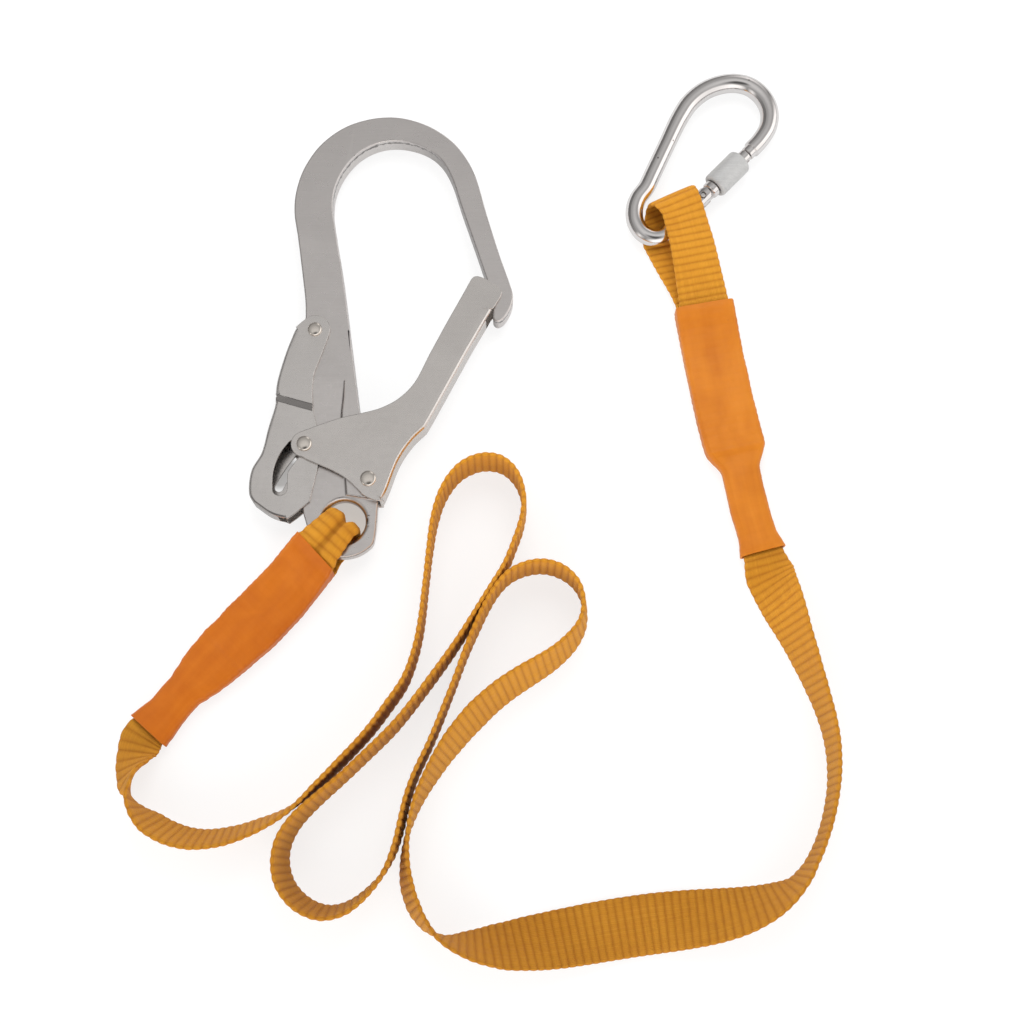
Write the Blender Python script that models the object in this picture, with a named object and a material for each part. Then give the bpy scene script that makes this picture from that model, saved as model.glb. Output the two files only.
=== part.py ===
"""Restraint lanyard: scaffold hook, rib webbing strap with a sewn and shrink-sleeved loop at each
end, and a screw-lock carabiner. It lies on a floor at z = 0, the strap mostly standing on its edge.
Lengths are millimetres in layout coordinates; the model is in metres, +Z up."""

import math
from collections import namedtuple

import bmesh
import bpy
import numpy as np
from mathutils import Matrix, Vector

MM = 0.001
# The layout point under the middle of the bounding box; it becomes the frame's origin.
MIDDLE_X, MIDDLE_Y = -16.47, 8.84
ORIGIN = (0, 0, 0)
UP = (0, 0, 1)

# Hook
HOOK_Z = 8.1  # height of the hook's middle plane
BOW_HALF, SHANK_HALF = 4.8, 4.2  # half thicknesses of the plate
LUG_HALF = 3.2  # the pressed area under the lever, and the eye lug
BOW_STEP_Y = (121.5, 127.5)  # the plate thins between these
LUG_STEP_Y = (57.0, 63.0)
EYE, EYE_R, LUG_R = (-74.2, -7.1), 9.4, 16.4
GATE_PIVOT = (-63.7, 11.4)
CAM_PIN = (-92.6, 27.6)
LEVER_PIVOT = (-89.7, 82.3)
GATE_IN, GATE_OUT = 5.1, 6.5  # inner and outer faces of the gate's cheeks, from the middle plane
LEVER_UP_IN, LEVER_UP_OUT = 4.5, 5.7  # lever cheeks above the joggle in Y
LEVER_LOW_IN, LEVER_LOW_OUT = 3.5, 4.7  # and below it
JOGGLE_Y = (45.5, 49.5)
RIVET_R, CAM_R = 2.5, 1.5
RIVET_HEAD_GAP = 0.3
PLAY = 0.35
GATE_OPEN_DEG, LEVER_PRESS_DEG = 33.0, 6.0
BODY_DRILL, CHEEK_DRILL = (0, 17), (-2, 19)  # z spans of the hole cutters

# Carabiner: distances named _S are measured from the hinge along the closed gate
CAR_Z = 7.0
ROD_R, ROD_TOP_R = 4.1, 4.5
ROD_SIDES = 14
HINGE = (89.4, 150.7)
GATE_DIR = (0.69, 0.7238)
NOSE_S, STUB_S = 35.0, 31.9  # step of the nose, end of its thin stub
THIN_R = 3.35
SHOULDER_S, THIN_S, TIP_S = 4.9, 8.2, 31.5
SLEEVE_S = (8.6, 27.2)
SLEEVE_R, SLEEVE_BORE = 6.1, 3.75
SLEEVE_BEVEL_S, SLEEVE_BEVEL_R = 1.3, 1.1
LATCH_S = 29.9
HINGE_PIN_R, LATCH_PIN_R, LATCH_PLAY = 1.2, 0.7, 0.3
TONGUE_HALF = 1.1
SLOT_HALF, BLADE_HALF, FOOT_R = 1.5, 1.15, 3.6
CAR_DRILL = (CAR_Z - 6, CAR_Z + 6)

# Webbing
WEB_W, WEB_T = 25.0, 2.0
SLEEVE_W = 24.0  # width inside a shrink sleeve
GATHER_W, GATHER_T = 14.0, 3.4  # width and thickness where it is gathered
SLEEVE_WALL = 0.8
LAYER = 1.25  # half the spacing of two stacked layers
FLOOR_GAP = 0.01
STRAP_STEP = 5.4

LOOKS = {  # base colour, metallic, roughness
    "steel": ((0.42, 0.40, 0.385), 1.0, 0.34),
    "bright": ((0.62, 0.60, 0.59), 1.0, 0.16),
    "sleeve_metal": ((0.56, 0.56, 0.56), 1.0, 0.5),
    "spring": ((0.35, 0.35, 0.36), 1.0, 0.3),
    "web": ((0.70, 0.30, 0.045), 0.0, 0.75),
    "shrink": ((0.72, 0.20, 0.03), 0.0, 0.45),
    "thread": ((0.60, 0.24, 0.05), 0.0, 0.8),
}


# ---------------------------------------------------------------- scene, materials, objects
def clear_scene():
    for item in list(bpy.data.objects):
        bpy.data.objects.remove(item, do_unlink=True)
    for group in list(bpy.data.collections):
        bpy.data.collections.remove(group)


def new_collection(name):
    group = bpy.data.collections.new(name)
    bpy.context.scene.collection.children.link(group)
    return group


clear_scene()
PARTS = new_collection("restraint_lanyard")
CUTTERS = new_collection("cutters")


def material(name, look):
    colour, metallic, roughness = LOOKS[look]
    made = bpy.data.materials.new(name)
    made.use_nodes = True
    inputs = made.node_tree.nodes["Principled BSDF"].inputs
    inputs["Base Color"].default_value = (*colour, 1.0)
    inputs["Metallic"].default_value = metallic
    inputs["Roughness"].default_value = roughness
    return made


def to_metres(point):
    """A layout point in the model's frame."""
    x, y, z = point
    return ((x - MIDDLE_X) * MM, (y - MIDDLE_Y) * MM, z * MM)


def make_object(name, mesh, origin, look):
    """An object with its origin on a layout point. With a look it is a part, without one a helper."""
    at = Vector(to_metres(origin))
    mesh.transform(Matrix.Translation(-at))
    made = bpy.data.objects.new(name, mesh)
    made.location = at
    if look is None:
        CUTTERS.objects.link(made)
        made.hide_render = True
        made.display_type = "WIRE"
    else:
        PARTS.objects.link(made)
        mesh.materials.append(material(name + "_" + look, look))
    return made


def face_outward(mesh, merge=False):
    """Turn the faces of a closed mesh outward, first merging coincident vertices if asked."""
    bm = bmesh.new()
    bm.from_mesh(mesh)
    if merge:
        bmesh.ops.remove_doubles(bm, verts=bm.verts[:], dist=1e-6)
    bmesh.ops.recalc_face_normals(bm, faces=bm.faces[:])
    if bm.calc_volume(signed=True) < 0:
        bmesh.ops.reverse_faces(bm, faces=bm.faces[:])
    bm.to_mesh(mesh)
    bm.free()


def mesh_of(name, verts, faces):
    """A mesh from layout millimetres, with its faces turned outward."""
    mesh = bpy.data.meshes.new(name)
    mesh.from_pydata([to_metres(point) for point in verts], [], faces)
    mesh.validate()
    face_outward(mesh)
    return mesh


def add_booleans(target, prefix, operation, tools):
    for tool in tools:
        modifier = target.modifiers.new(prefix + tool.name, "BOOLEAN")
        modifier.operation = operation
        modifier.solver = "EXACT"
        modifier.object = tool


def cut(target, *tools):
    add_booleans(target, "cut_", "DIFFERENCE", tools)


def join(target, *tools):
    add_booleans(target, "join_", "UNION", tools)


# ---------------------------------------------------------------- outlines
def mix(first, last, start, end, at):
    """Straight interpolation from first at start to last at end."""
    return ((end - at) * first + (at - start) * last) / (end - start)


def run_curve(points, step):
    """A smooth curve through the points (centripetal Catmull-Rom), about step apart."""
    pts = np.array(points, float)
    if len(pts) == 2:
        return [tuple(pts[0]), tuple(pts[1])]
    gaps = np.maximum(np.linalg.norm(np.diff(pts, axis=0), axis=1), 1e-6) ** 0.5
    inner = np.concatenate([[0], np.cumsum(gaps)])
    # one mirrored point beyond each end
    ctrl = np.vstack([2 * pts[0] - pts[1], pts, 2 * pts[-1] - pts[-2]])
    knot = np.concatenate([[-gaps[0]], inner, [inner[-1] + gaps[-1]]])
    out = []
    for i in range(1, len(ctrl) - 2):
        count = max(1, int(round(np.linalg.norm(ctrl[i + 1] - ctrl[i]) / step)))
        for k in range(count):
            at = knot[i] + (knot[i + 1] - knot[i]) * k / count
            before, here, after = (
                mix(ctrl[j], ctrl[j + 1], knot[j], knot[j + 1], at) for j in (i - 1, i, i + 1)
            )
            early = mix(before, here, knot[i - 1], knot[i + 1], at)
            late = mix(here, after, knot[i], knot[i + 2], at)
            out.append(tuple(mix(early, late, knot[i], knot[i + 1], at)))
    out.append(tuple(pts[-1]))
    return out


def outline(points, step):
    """A closed outline of (x, y) points, or (x, y, 1) at a corner; smooth between corners."""
    corners = [i for i, point in enumerate(points) if len(point) > 2]
    points = points[corners[0] :] + points[: corners[0]]
    corners = [i for i, point in enumerate(points) if len(point) > 2] + [len(points)]
    flat = [point[:2] for point in points] + [points[0][:2]]
    out = []
    for start, end in zip(corners, corners[1:]):
        out += run_curve(flat[start : end + 1], step)[:-1]
    return out


def polar(centre, radius, degrees):
    angle = math.radians(degrees)
    return (centre[0] + radius * math.cos(angle), centre[1] + radius * math.sin(angle))


def arc(centre, radius, start, end, count):
    """Points on an arc, in degrees."""
    return [polar(centre, radius, start + (end - start) * i / count) for i in range(count + 1)]


def corner_first(points):
    """The same points, the first marked as a corner."""
    return [(*points[0], 1), *points[1:]]


def heading(vector):
    return math.degrees(math.atan2(vector.y, vector.x))


def thick_line(points, radius, ends=5):
    """The outline of a round-ended band of half width radius along the points."""
    pts = [Vector(point) for point in points]
    left, right = [], []
    for i, point in enumerate(pts):
        way = (pts[min(i + 1, len(pts) - 1)] - pts[max(i - 1, 0)]).normalized()
        side = Vector((-way.y, way.x)) * radius
        left.append(tuple(point + side))
        right.append(tuple(point - side))
    first, last = heading(pts[1] - pts[0]), heading(pts[-1] - pts[-2])
    last_cap = arc(points[-1], radius, last + 90, last - 90, 2 * ends)[1:-1]
    first_cap = arc(points[0], radius, first - 90, first - 270, 2 * ends)[1:-1]
    return left + last_cap + right[::-1] + first_cap


def turn_about(point, centre, degrees):
    cos, sin = math.cos(math.radians(degrees)), math.sin(math.radians(degrees))
    x, y = point[0] - centre[0], point[1] - centre[1]
    return (centre[0] + x * cos - y * sin, centre[1] + x * sin + y * cos)


def ramp(y0, y1, low, high):
    """A function of y: low under y0, high over y1, straight between."""
    return lambda y: low if y <= y0 else high if y >= y1 else low + (high - low) * (y - y0) / (y1 - y0)


# ---------------------------------------------------------------- solids
def as_function(level):
    return level if callable(level) else (lambda y: level)


def slab(name, loop, top, bottom, cuts=(), look=None, origin=ORIGIN):
    """A closed solid over the outline. top and bottom are heights or functions of y that bend
    only at the cuts."""
    bm = bmesh.new()
    bm.faces.new([bm.verts.new((x, y, 0)) for x, y in loop])
    for y in cuts:
        geometry = bm.verts[:] + bm.edges[:] + bm.faces[:]
        bmesh.ops.bisect_plane(
            bm, geom=geometry, dist=1e-5, plane_co=(0, y, 0), plane_no=(0, 1, 0)
        )
    bmesh.ops.triangulate(bm, faces=bm.faces[:])
    bm.verts.index_update()
    flat = [tuple(vert.co[:2]) for vert in bm.verts]
    tris = [[vert.index for vert in face.verts] for face in bm.faces]
    rim = [[vert.index for vert in edge.verts] for edge in bm.edges if len(edge.link_faces) == 1]
    bm.free()
    count = len(flat)
    verts = [(x, y, as_function(level)(y)) for level in (top, bottom) for x, y in flat]
    faces = tris + [[i + count for i in tri] for tri in tris]
    faces += [[i, j, j + count, i + count] for i, j in rim]
    return make_object(name, mesh_of(name, verts, faces), origin, look)


def plate(name, loop, half, middle=HOOK_Z, **options):
    """A slab reaching half, a number or a function of y, above and below a middle plane."""
    reach = as_function(half)
    return slab(name, loop, lambda y: middle + reach(y), lambda y: middle - reach(y), **options)


def loft(name, rings, closed_path=False, look=None, origin=ORIGIN):
    """A closed solid through rings of equal length; an open path gets end caps."""
    count = len(rings[0])
    verts = [tuple(point) for ring in rings for point in ring]
    faces = []
    for i in range(len(rings) if closed_path else len(rings) - 1):
        this, following = i * count, (i + 1) % len(rings) * count
        for k in range(count):
            m = (k + 1) % count
            faces.append([this + k, this + m, following + m, following + k])
    if not closed_path:
        faces.append(list(range(count))[::-1])
        faces.append([(len(rings) - 1) * count + k for k in range(count)])
    return make_object(name, mesh_of(name, verts, faces), origin, look)


def turned(name, profile, base, axis, look=None, sides=20, origin=ORIGIN, bored=False):
    """A body of revolution from (distance along the axis, radius) pairs.
    bored: the profile is closed and clear of the axis."""
    axis = Vector(axis).normalized()
    helper = Vector(UP) if abs(axis.z) < 0.9 else Vector((1, 0, 0))
    first = axis.cross(helper).normalized()
    second = axis.cross(first)
    angles = [2 * math.pi * k / sides for k in range(sides)]
    spokes = [first * math.cos(angle) + second * math.sin(angle) for angle in angles]
    # a point on the axis becomes a tiny ring
    rings = [
        [tuple(Vector(base) + axis * dist + spoke * max(radius, 0.02)) for spoke in spokes]
        for dist, radius in profile
    ]
    return loft(name, rings, closed_path=bored, look=look, origin=origin)


def upright(name, at, radius, z_span, sides=16, look=None, origin=ORIGIN):
    """A vertical cylinder: a pin, or the cutter for a hole."""
    profile = [(0, radius), (z_span[1] - z_span[0], radius)]
    return turned(name, profile, (at[0], at[1], z_span[0]), UP, look, sides, origin)


def wire(name, points, radius, resolution, origin):
    """A round spring wire along the points, made as a bevelled curve and converted to a mesh."""
    curve = bpy.data.curves.new(name, "CURVE")
    curve.dimensions = "3D"
    curve.bevel_depth = radius * MM
    curve.bevel_resolution = resolution
    curve.use_fill_caps = True
    line = curve.splines.new("POLY")
    line.points.add(len(points) - 1)
    for target, point in zip(line.points, points):
        target.co = (*to_metres(point), 1.0)
    shape = bpy.data.objects.new(name + "_curve", curve)
    bpy.context.scene.collection.objects.link(shape)
    bpy.context.view_layer.update()
    evaluated = shape.evaluated_get(bpy.context.evaluated_depsgraph_get())
    mesh = bpy.data.meshes.new_from_object(evaluated)
    bpy.data.objects.remove(shape, do_unlink=True)
    mesh.name = name
    mesh.materials.clear()
    face_outward(mesh, merge=True)
    return make_object(name, mesh, origin, "spring")


# ---------------------------------------------------------------- hook body
# Outline tables: x, y, and 1 at a corner
BODY_OUTER = [  # from the nose up the right arm, over the bow and down the left arm
    (-8.7, 88.3, 1), (-6.9, 86.6), (-4.1, 87.9), (-0.9, 93.0), (0.5, 99.0), (-0.9, 105.0),
    (-5.5, 118.9), (-11.6, 139.6), (-17.3, 160.2), (-21.6, 169.0), (-28.3, 177.7), (-38.8, 185.3),
    (-50.0, 189.4), (-58.3, 190.3), (-67.6, 189.2), (-79.0, 185.0), (-90.0, 176.0), (-97.6, 163.6),
    (-101.0, 151.0), (-101.3, 141.0), (-99.3, 129.0), (-97.2, 114.4), (-94.8, 97.1),
    (-94.4, 89.5, 1), (-95.0, 82.0), (-94.6, 72.0), (-92.4, 56.0, 1), (-90.2, 40.0, 1),
]
LUG_CORNER = (-92.4, -3.6, 1)
BODY_INNER = [  # right side of the lug, then the inner edge of the shank and of the bow
    (-59.4, 1.8, 1), (-56.6, 8.0, 1), (-57.6, 18.0), (-62.0, 32.0), (-68.4, 43.0, 1), (-72.7, 72.7),
    (-76.1, 97.1), (-78.8, 114.4), (-81.6, 129.5), (-83.6, 143.7), (-82.6, 153.6), (-78.4, 163.6),
    (-71.3, 172.0), (-62.6, 176.7), (-54.2, 177.8), (-45.7, 176.3), (-38.4, 172.9), (-32.9, 167.6),
    (-28.4, 159.2), (-23.3, 143.1), (-17.1, 124.4), (-11.5, 107.0), (-8.6, 98.5, 1),
    (-6.6, 97.0, 1), (-7.7, 94.6), (-8.5, 91.5),
]
PRESSED_AREA = [  # x, y; its +Y end is where the plate reaches full thickness
    (-120, LUG_STEP_Y[1]), (-120, -40), (-40, -40), (-40, 1.6), (-59.0, 2.2), (-66.0, 3.4),
    (-73.5, 4.6), (-74.0, 11.0), (-76.6, 40.0), (-75.9, 51.0), (-75.2, LUG_STEP_Y[1]),
]
PRESS_REACH = 12  # the press cutters end this far from the middle plane
PRESS_OVERLAP = 0.4  # they rise this far clear of the shank's face
SEAT_TOP = 8

# Torsion springs, each in a seat of the hook body. Directions in degrees; leg_way is also the
# way the seat's slot runs. seat_floor is a height over the middle plane.
TorsionSpring = namedtuple(
    "TorsionSpring",
    "name at leg_way leg tail_way tail coil_r wire_r seat_reach seat_floor seat_r",
)
SPRINGS = (
    TorsionSpring("gate", GATE_PIVOT, -27, 5.2, 60, 0.6, 3.75, 0.45, 11, 1.2, 5.1),
    TorsionSpring("lever", LEVER_PIVOT, 180, 4.2, 20, 0.4, 3.35, 0.32, 9, 1.4, 4.3),
)
SPRING_FLOOR_GAP = 0.3
SPRING_TURN_GAP = 0.32
SPRING_SEGMENTS = 14  # per turn


def body_outline():
    # the edge beside the cam pin follows the pin's swing about the gate pivot
    swing_r = math.dist(GATE_PIVOT, CAM_PIN) - CAM_R - 2 * PLAY
    side = corner_first(arc(GATE_PIVOT, swing_r, 149, 183, 4))
    lug = corner_first(arc(EYE, LUG_R, 196, 322, 12))
    return outline(BODY_OUTER + side + [LUG_CORNER] + lug + BODY_INNER, step=3.2)


def build_hook():
    body = plate(
        "hook_body", body_outline(), ramp(*BOW_STEP_Y, SHANK_HALF, BOW_HALF),
        cuts=BOW_STEP_Y, look="steel", origin=(*EYE, HOOK_Z),
    )
    depth = ramp(*LUG_STEP_Y, LUG_HALF, SHANK_HALF + PRESS_OVERLAP)
    bend = LUG_STEP_Y[:1]
    upper = slab(
        "press_front", PRESSED_AREA, HOOK_Z + PRESS_REACH, lambda y: HOOK_Z + depth(y), bend
    )
    lower = slab(
        "press_back", PRESSED_AREA, lambda y: HOOK_Z - depth(y), HOOK_Z - PRESS_REACH, bend
    )
    holes = [
        upright("eye_cutter", EYE, EYE_R, BODY_DRILL, 32),
        upright("gate_hole", GATE_PIVOT, RIVET_R + PLAY, BODY_DRILL),
        upright("lever_hole", LEVER_PIVOT, RIVET_R + PLAY, BODY_DRILL),
    ]
    # spring seats: a round pocket in the upper face, running out in a slot along the leg
    seats = []
    for spring in SPRINGS:
        slot_end = polar(spring.at, spring.seat_reach, spring.leg_way)
        loop = thick_line([spring.at, slot_end], spring.seat_r, 6)
        floor = HOOK_Z + spring.seat_floor
        seats.append(slab(spring.name + "_seat", loop, HOOK_Z + SEAT_TOP, floor))
    cut(body, upper, lower, *holes, *seats)


# ---------------------------------------------------------------- hook gate
GATE_OUTER = [  # round the tip, down the back wall and round the pivot to the cam pin's lobe
    (-18.9, 106.4, 1), (-17.6, 107.9), (-15.6, 108.2), (-12.8, 107.2), (-9.4, 105.2),
    (-5.6, 102.2, 1), (-4.6, 100.6), (-5.0, 98.6), (-8.7, 92.2, 1), (-19.0, 73.4), (-27.9, 56.0),
    (-35.8, 40.6, 1), (-38.6, 35.5, 1), (-44.4, 29.6), (-50.2, 20.5), (-55.2, 6.8),
    (-57.4, 1.4, 1), (-60.5, 1.5), (-65.2, 3.6), (-69.0, 7.4), (-73.5, 11.6), (-79.4, 15.1),
    (-86.1, 18.1), (-91.6, 20.6, 1),
]
GATE_LOBE_R = 6.0
GATE_INNER = [  # from the lobe back to the tip
    (-94.2, 33.4, 1), (-86.0, 36.6), (-77.2, 39.7), (-66.9, 42.2), (-58.7, 44.6), (-50.7, 49.2),
    (-44.1, 56.3), (-37.1, 70.6), (-28.6, 87.6), (-24.2, 96.0),
]
# Between the cheeks: all on the inner side of the back wall, and the open tip for the nose
GATE_HOLLOW = [
    (-58.9, -6.0), (-58.6, 2.6), (-57.0, 6.8), (-51.9, 20.9), (-45.7, 30.6), (-40.0, 36.6),
    (-37.2, 41.6), (-29.2, 57.0), (-20.3, 74.4), (-13.5, 87.6), (4.0, 80.0), (14.0, 120.0),
    (-60.0, 130.0), (-120.0, 60.0), (-120.0, -6.0),
]


def build_gate():
    loop = outline(GATE_OUTER + arc(CAM_PIN, GATE_LOBE_R, 262, 118, 6) + GATE_INNER, step=4.0)
    gate = plate("hook_gate", loop, GATE_OUT, look="steel", origin=(*GATE_PIVOT, HOOK_Z))
    channel = plate("gate_channel", GATE_HOLLOW, GATE_IN)
    pivot = upright("gate_pivot_hole", GATE_PIVOT, RIVET_R + PLAY, CHEEK_DRILL)
    pin = upright("gate_pin_hole", CAM_PIN, CAM_R + PLAY, CHEEK_DRILL, 14)
    cut(gate, channel, pivot, pin)


# ---------------------------------------------------------------- lock lever
LEVER_TOP = [(-98.4, 83.6, 1), (-96.6, 85.4, 1)]
LEVER_HEAD_R = 6.9
LEVER_REST = [  # down the right side, round the foot and up the left side
    (-86.3, 70.4), (-89.6, 60.0), (-89.9, 52.0), (-89.4, 43.6, 1), (-87.9, 37.9), (-86.4, 28.0),
    (-86.2, 18.2, 1), (-89.6, 1.4, 1), (-96.2, -4.4), (-99.2, -6.6, 1), (-106.5, -4.4),
    (-114.3, 0.9, 1), (-116.5, 4.8), (-116.1, 15.9), (-111.9, 24.2), (-109.3, 36.0),
    (-106.5, 47.5), (-106.2, 56.0), (-102.6, 71.4),
]
LEVER_HOLLOW = [
    (-96.4, 100.0), (-97.0, 82.6), (-101.1, 71.2), (-104.7, 56.0), (-105.0, 47.6), (-107.8, 36.2),
    (-110.4, 24.6), (-114.5, 16.3), (-114.9, 5.6), (-113.0, 2.0), (-106.0, -2.9), (-103.6, -3.6),
    (-102.4, -12.0), (-60.0, -12.0), (-60.0, 100.0),
]
CAM_WINDOW = [(-97.3, 26.6), (-100.6, 22.0), (-102.9, 15.4), (-103.0, 7.4)]  # middle line
CAM_WINDOW_HALF = 3.3
TRACK_EXTRA = 0.05
TRACK_STEPS, TRACK_OVERRUN = 6, 0.02  # the track runs on by this share of the travel at each end
CAM_CUT_HALF = 9


def build_lever():
    """The lock lever: its cheeks close over the shank, then set in so that the gate's lobe
    passes over them."""
    loop = outline(LEVER_TOP + arc(LEVER_PIVOT, LEVER_HEAD_R, 138, -8, 9) + LEVER_REST, step=4.0)
    outer = ramp(*JOGGLE_Y, LEVER_LOW_OUT, LEVER_UP_OUT)
    inner = ramp(*JOGGLE_Y, LEVER_LOW_IN, LEVER_UP_IN)
    lever = plate(
        "lock_lever", loop, outer, cuts=JOGGLE_Y, look="steel", origin=(*LEVER_PIVOT, HOOK_Z)
    )
    channel = plate("lever_channel", LEVER_HOLLOW, inner, cuts=JOGGLE_Y)
    pivot = upright("lever_pivot_hole", LEVER_PIVOT, RIVET_R + PLAY, CHEEK_DRILL)
    window_loop = thick_line(run_curve(CAM_WINDOW, 3.0), CAM_WINDOW_HALF)
    window = plate("cam_window", window_loop, CAM_CUT_HALF)
    # the way the cam pin takes through the lever as gate and lever turn together
    way = []
    for i in range(TRACK_STEPS + 1):
        share = -TRACK_OVERRUN + (1 + 2 * TRACK_OVERRUN) * i / TRACK_STEPS
        at = turn_about(CAM_PIN, GATE_PIVOT, share * GATE_OPEN_DEG)
        way.append(turn_about(at, LEVER_PIVOT, -share * LEVER_PRESS_DEG))
    track = plate("cam_track", thick_line(way, CAM_R + PLAY + TRACK_EXTRA), CAM_CUT_HALF)
    cut(lever, channel, pivot, window, track)


# ---------------------------------------------------------------- rivets and torsion springs
RIVETS = (  # name, place, shank radius, outer face of the cheeks, head radius
    ("gate_pivot_rivet", GATE_PIVOT, RIVET_R, GATE_OUT, 3.5),
    ("lever_pivot_rivet", LEVER_PIVOT, RIVET_R, LEVER_UP_OUT, 3.2),
    ("cam_pin_rivet", CAM_PIN, CAM_R, GATE_OUT, 3.4),
)
DOME = ((0, 1), (0.35, 1), (0.85, 0.8), (1.15, 0.45), (1.3, 0))  # rise, share of the head radius


def build_rivet(name, at, shank_r, face, head_r):
    """A rivet with a domed head at both ends."""
    under = face + RIVET_HEAD_GAP
    head = [(under, shank_r)] + [(under + rise, head_r * share) for rise, share in DOME]
    profile = [(-dist, radius) for dist, radius in reversed(head)] + head
    centre = (*at, HOOK_Z)
    turned(name, profile, centre, UP, "bright", origin=centre)


def build_torsion_spring(spring):
    """A spring wound round a rivet, with a leg at each end along the coil's tangent."""
    x, y = spring.at
    first = spring.tail_way + 90.0
    sweep = 360.0 + (spring.leg_way - 90.0 - first) % 360.0
    count = int(round(SPRING_SEGMENTS * sweep / 360.0))
    pitch = 2 * spring.wire_r + SPRING_TURN_GAP
    low = HOOK_Z + spring.seat_floor + spring.wire_r + SPRING_FLOOR_GAP
    points = []
    for i in range(count + 1):
        turn = sweep * i / count
        points.append(Vector((*polar((x, y), spring.coil_r, first + turn), low + pitch * turn / 360)))

    def tangent(degrees):
        return Vector((*polar((0, 0), 1, degrees + 90), 0.0))

    start = points[0] - tangent(first) * spring.tail
    end = points[-1] + tangent(first + sweep) * spring.leg
    wire(spring.name + "_spring", [start, *points, end], spring.wire_r, 2, (x, y, HOOK_Z))


# ---------------------------------------------------------------- carabiner
def along(dist, side=0.0, up=0.0):
    """The point at a distance from the hinge along the closed gate; side is positive towards
    the inside of the ring."""
    return (
        HINGE[0] + GATE_DIR[0] * dist - GATE_DIR[1] * side,
        HINGE[1] + GATE_DIR[1] * dist + GATE_DIR[0] * side,
        CAR_Z + up,
    )


def plate_along(name, pairs, half):
    """A flat solid over (distance from the hinge, side) pairs."""
    return plate(name, [along(dist, side)[:2] for dist, side in pairs], half, CAR_Z)


def box_along(name, start, end, half, side=8):
    pairs = [(start, -side), (end, -side), (end, side), (start, side)]
    return plate_along(name, pairs, half)


def turned_along(name, profile, look=None, sides=20, origin=ORIGIN, bored=False):
    """A body of revolution about the gate's axis, with distances from the hinge."""
    return turned(name, profile, along(0), (*GATE_DIR, 0), look, sides, origin, bored)


CAR_PATH = [  # rod's middle line: x, y from the nose over the top and down the back to the hinge
    along(NOSE_S)[:2], (117.9, 181.0), (122.0, 188.0), (123.0, 196.0), (120.2, 203.8),
    (114.4, 209.4), (107.4, 211.4), (100.0, 210.6), (92.3, 207.3), (85.4, 201.3), (80.2, 193.2),
    (73.2, 178.2), (66.4, 163.3), (63.2, 156.4), (59.3, 150.8), (57.5, 145.2), (57.9, 138.6),
    (61.2, 133.0), (66.6, 130.6), (71.6, 131.9), along(-21.0)[:2], along(4.1)[:2],
]
THICKEN_BELOW_TOP, THICKEN_RUN = 32, 22.0  # the rod starts to thicken here, over this height
CAR_ORIGIN = (80.0, 141.5, CAR_Z)
TONGUE = [(STUB_S + 1.0, -2.4), (STUB_S + 1.0, 2.4), (28.6, 2.4), (28.1, 1.6), (28.1, -1.8), (28.6, -2.4)]
NOTCH_HALF = 1.15  # along the gate
BORE_S, BORE_R = (-15.0, -4.0), 1.65
FORK_END_S, FORK_END_SIDE = 4.1, 4.6  # half axes of the fork's rounded end
FORK_CUT_S = 9
BLADE_SIDE = 3.3
GATE_SLOT_S = (27.3, 40)
PLUNGER = [(-8.2, 1.25), (-4.6, 1.25), (-4.05, 0.7)]  # distance from the hinge, radius
COIL_S, COIL_LENGTH, COIL_R, COIL_WIRE_R = -14.3, 5.4, 1.0, 0.24
COIL_TURNS, COIL_SEGMENTS = 5, 10


def carabiner_rod():
    path = np.array(run_curve(CAR_PATH, 3.0))
    ways = unit(np.gradient(path, axis=0))
    thicken_y = path[:, 1].max() - THICKEN_BELOW_TOP
    angles = [2 * math.pi * (k + 0.5) / ROD_SIDES for k in range(ROD_SIDES)]
    rings = []
    for (x, y), way in zip(path, ways):
        share = min(1.0, max(0.0, (y - thicken_y) / THICKEN_RUN))
        radius = ROD_R + (ROD_TOP_R - ROD_R) * share
        ring = []
        for angle in angles:
            side = radius * math.cos(angle)
            ring.append((x - way[1] * side, y + way[0] * side, CAR_Z + radius * math.sin(angle)))
        rings.append(ring)
    return loft("carabiner_body", rings, look="bright", origin=CAR_ORIGIN)


def build_carabiner_body():
    body = carabiner_rod()
    stub = turned_along("nose_stub", [(STUB_S, THIN_R), (NOSE_S + 1.5, THIN_R)], sides=16)
    tongue = plate_along("nose_tongue", TONGUE, TONGUE_HALF)
    near, far = LATCH_S - NOTCH_HALF, LATCH_S + NOTCH_HALF
    notch = plate_along("tongue_notch", [(near, -1.2), (far, -1.2), (far, 6), (near, 6)], 3.0)
    join(body, stub, tongue)
    slot = box_along("fork_slot", -4.5, FORK_CUT_S, SLOT_HALF)
    hinge_hole = upright("fork_hole", HINGE, HINGE_PIN_R + PLAY, CAR_DRILL, 14)
    bore = turned_along("plunger_bore", [(dist, BORE_R) for dist in BORE_S], sides=12)
    # the fork's ends are rounded about the hinge
    rounding = [
        (FORK_END_S * math.cos(math.radians(angle)), FORK_END_SIDE * math.sin(math.radians(angle)))
        for angle in range(90, -91, -15)
    ]
    end_cut = [(FORK_CUT_S, -8), (FORK_CUT_S, 8), (0.0, 8.0), *rounding, (0.0, -8.0)]
    cut(body, notch, slot, hinge_hole, bore, plate_along("fork_end", end_cut, 8.0))


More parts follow.
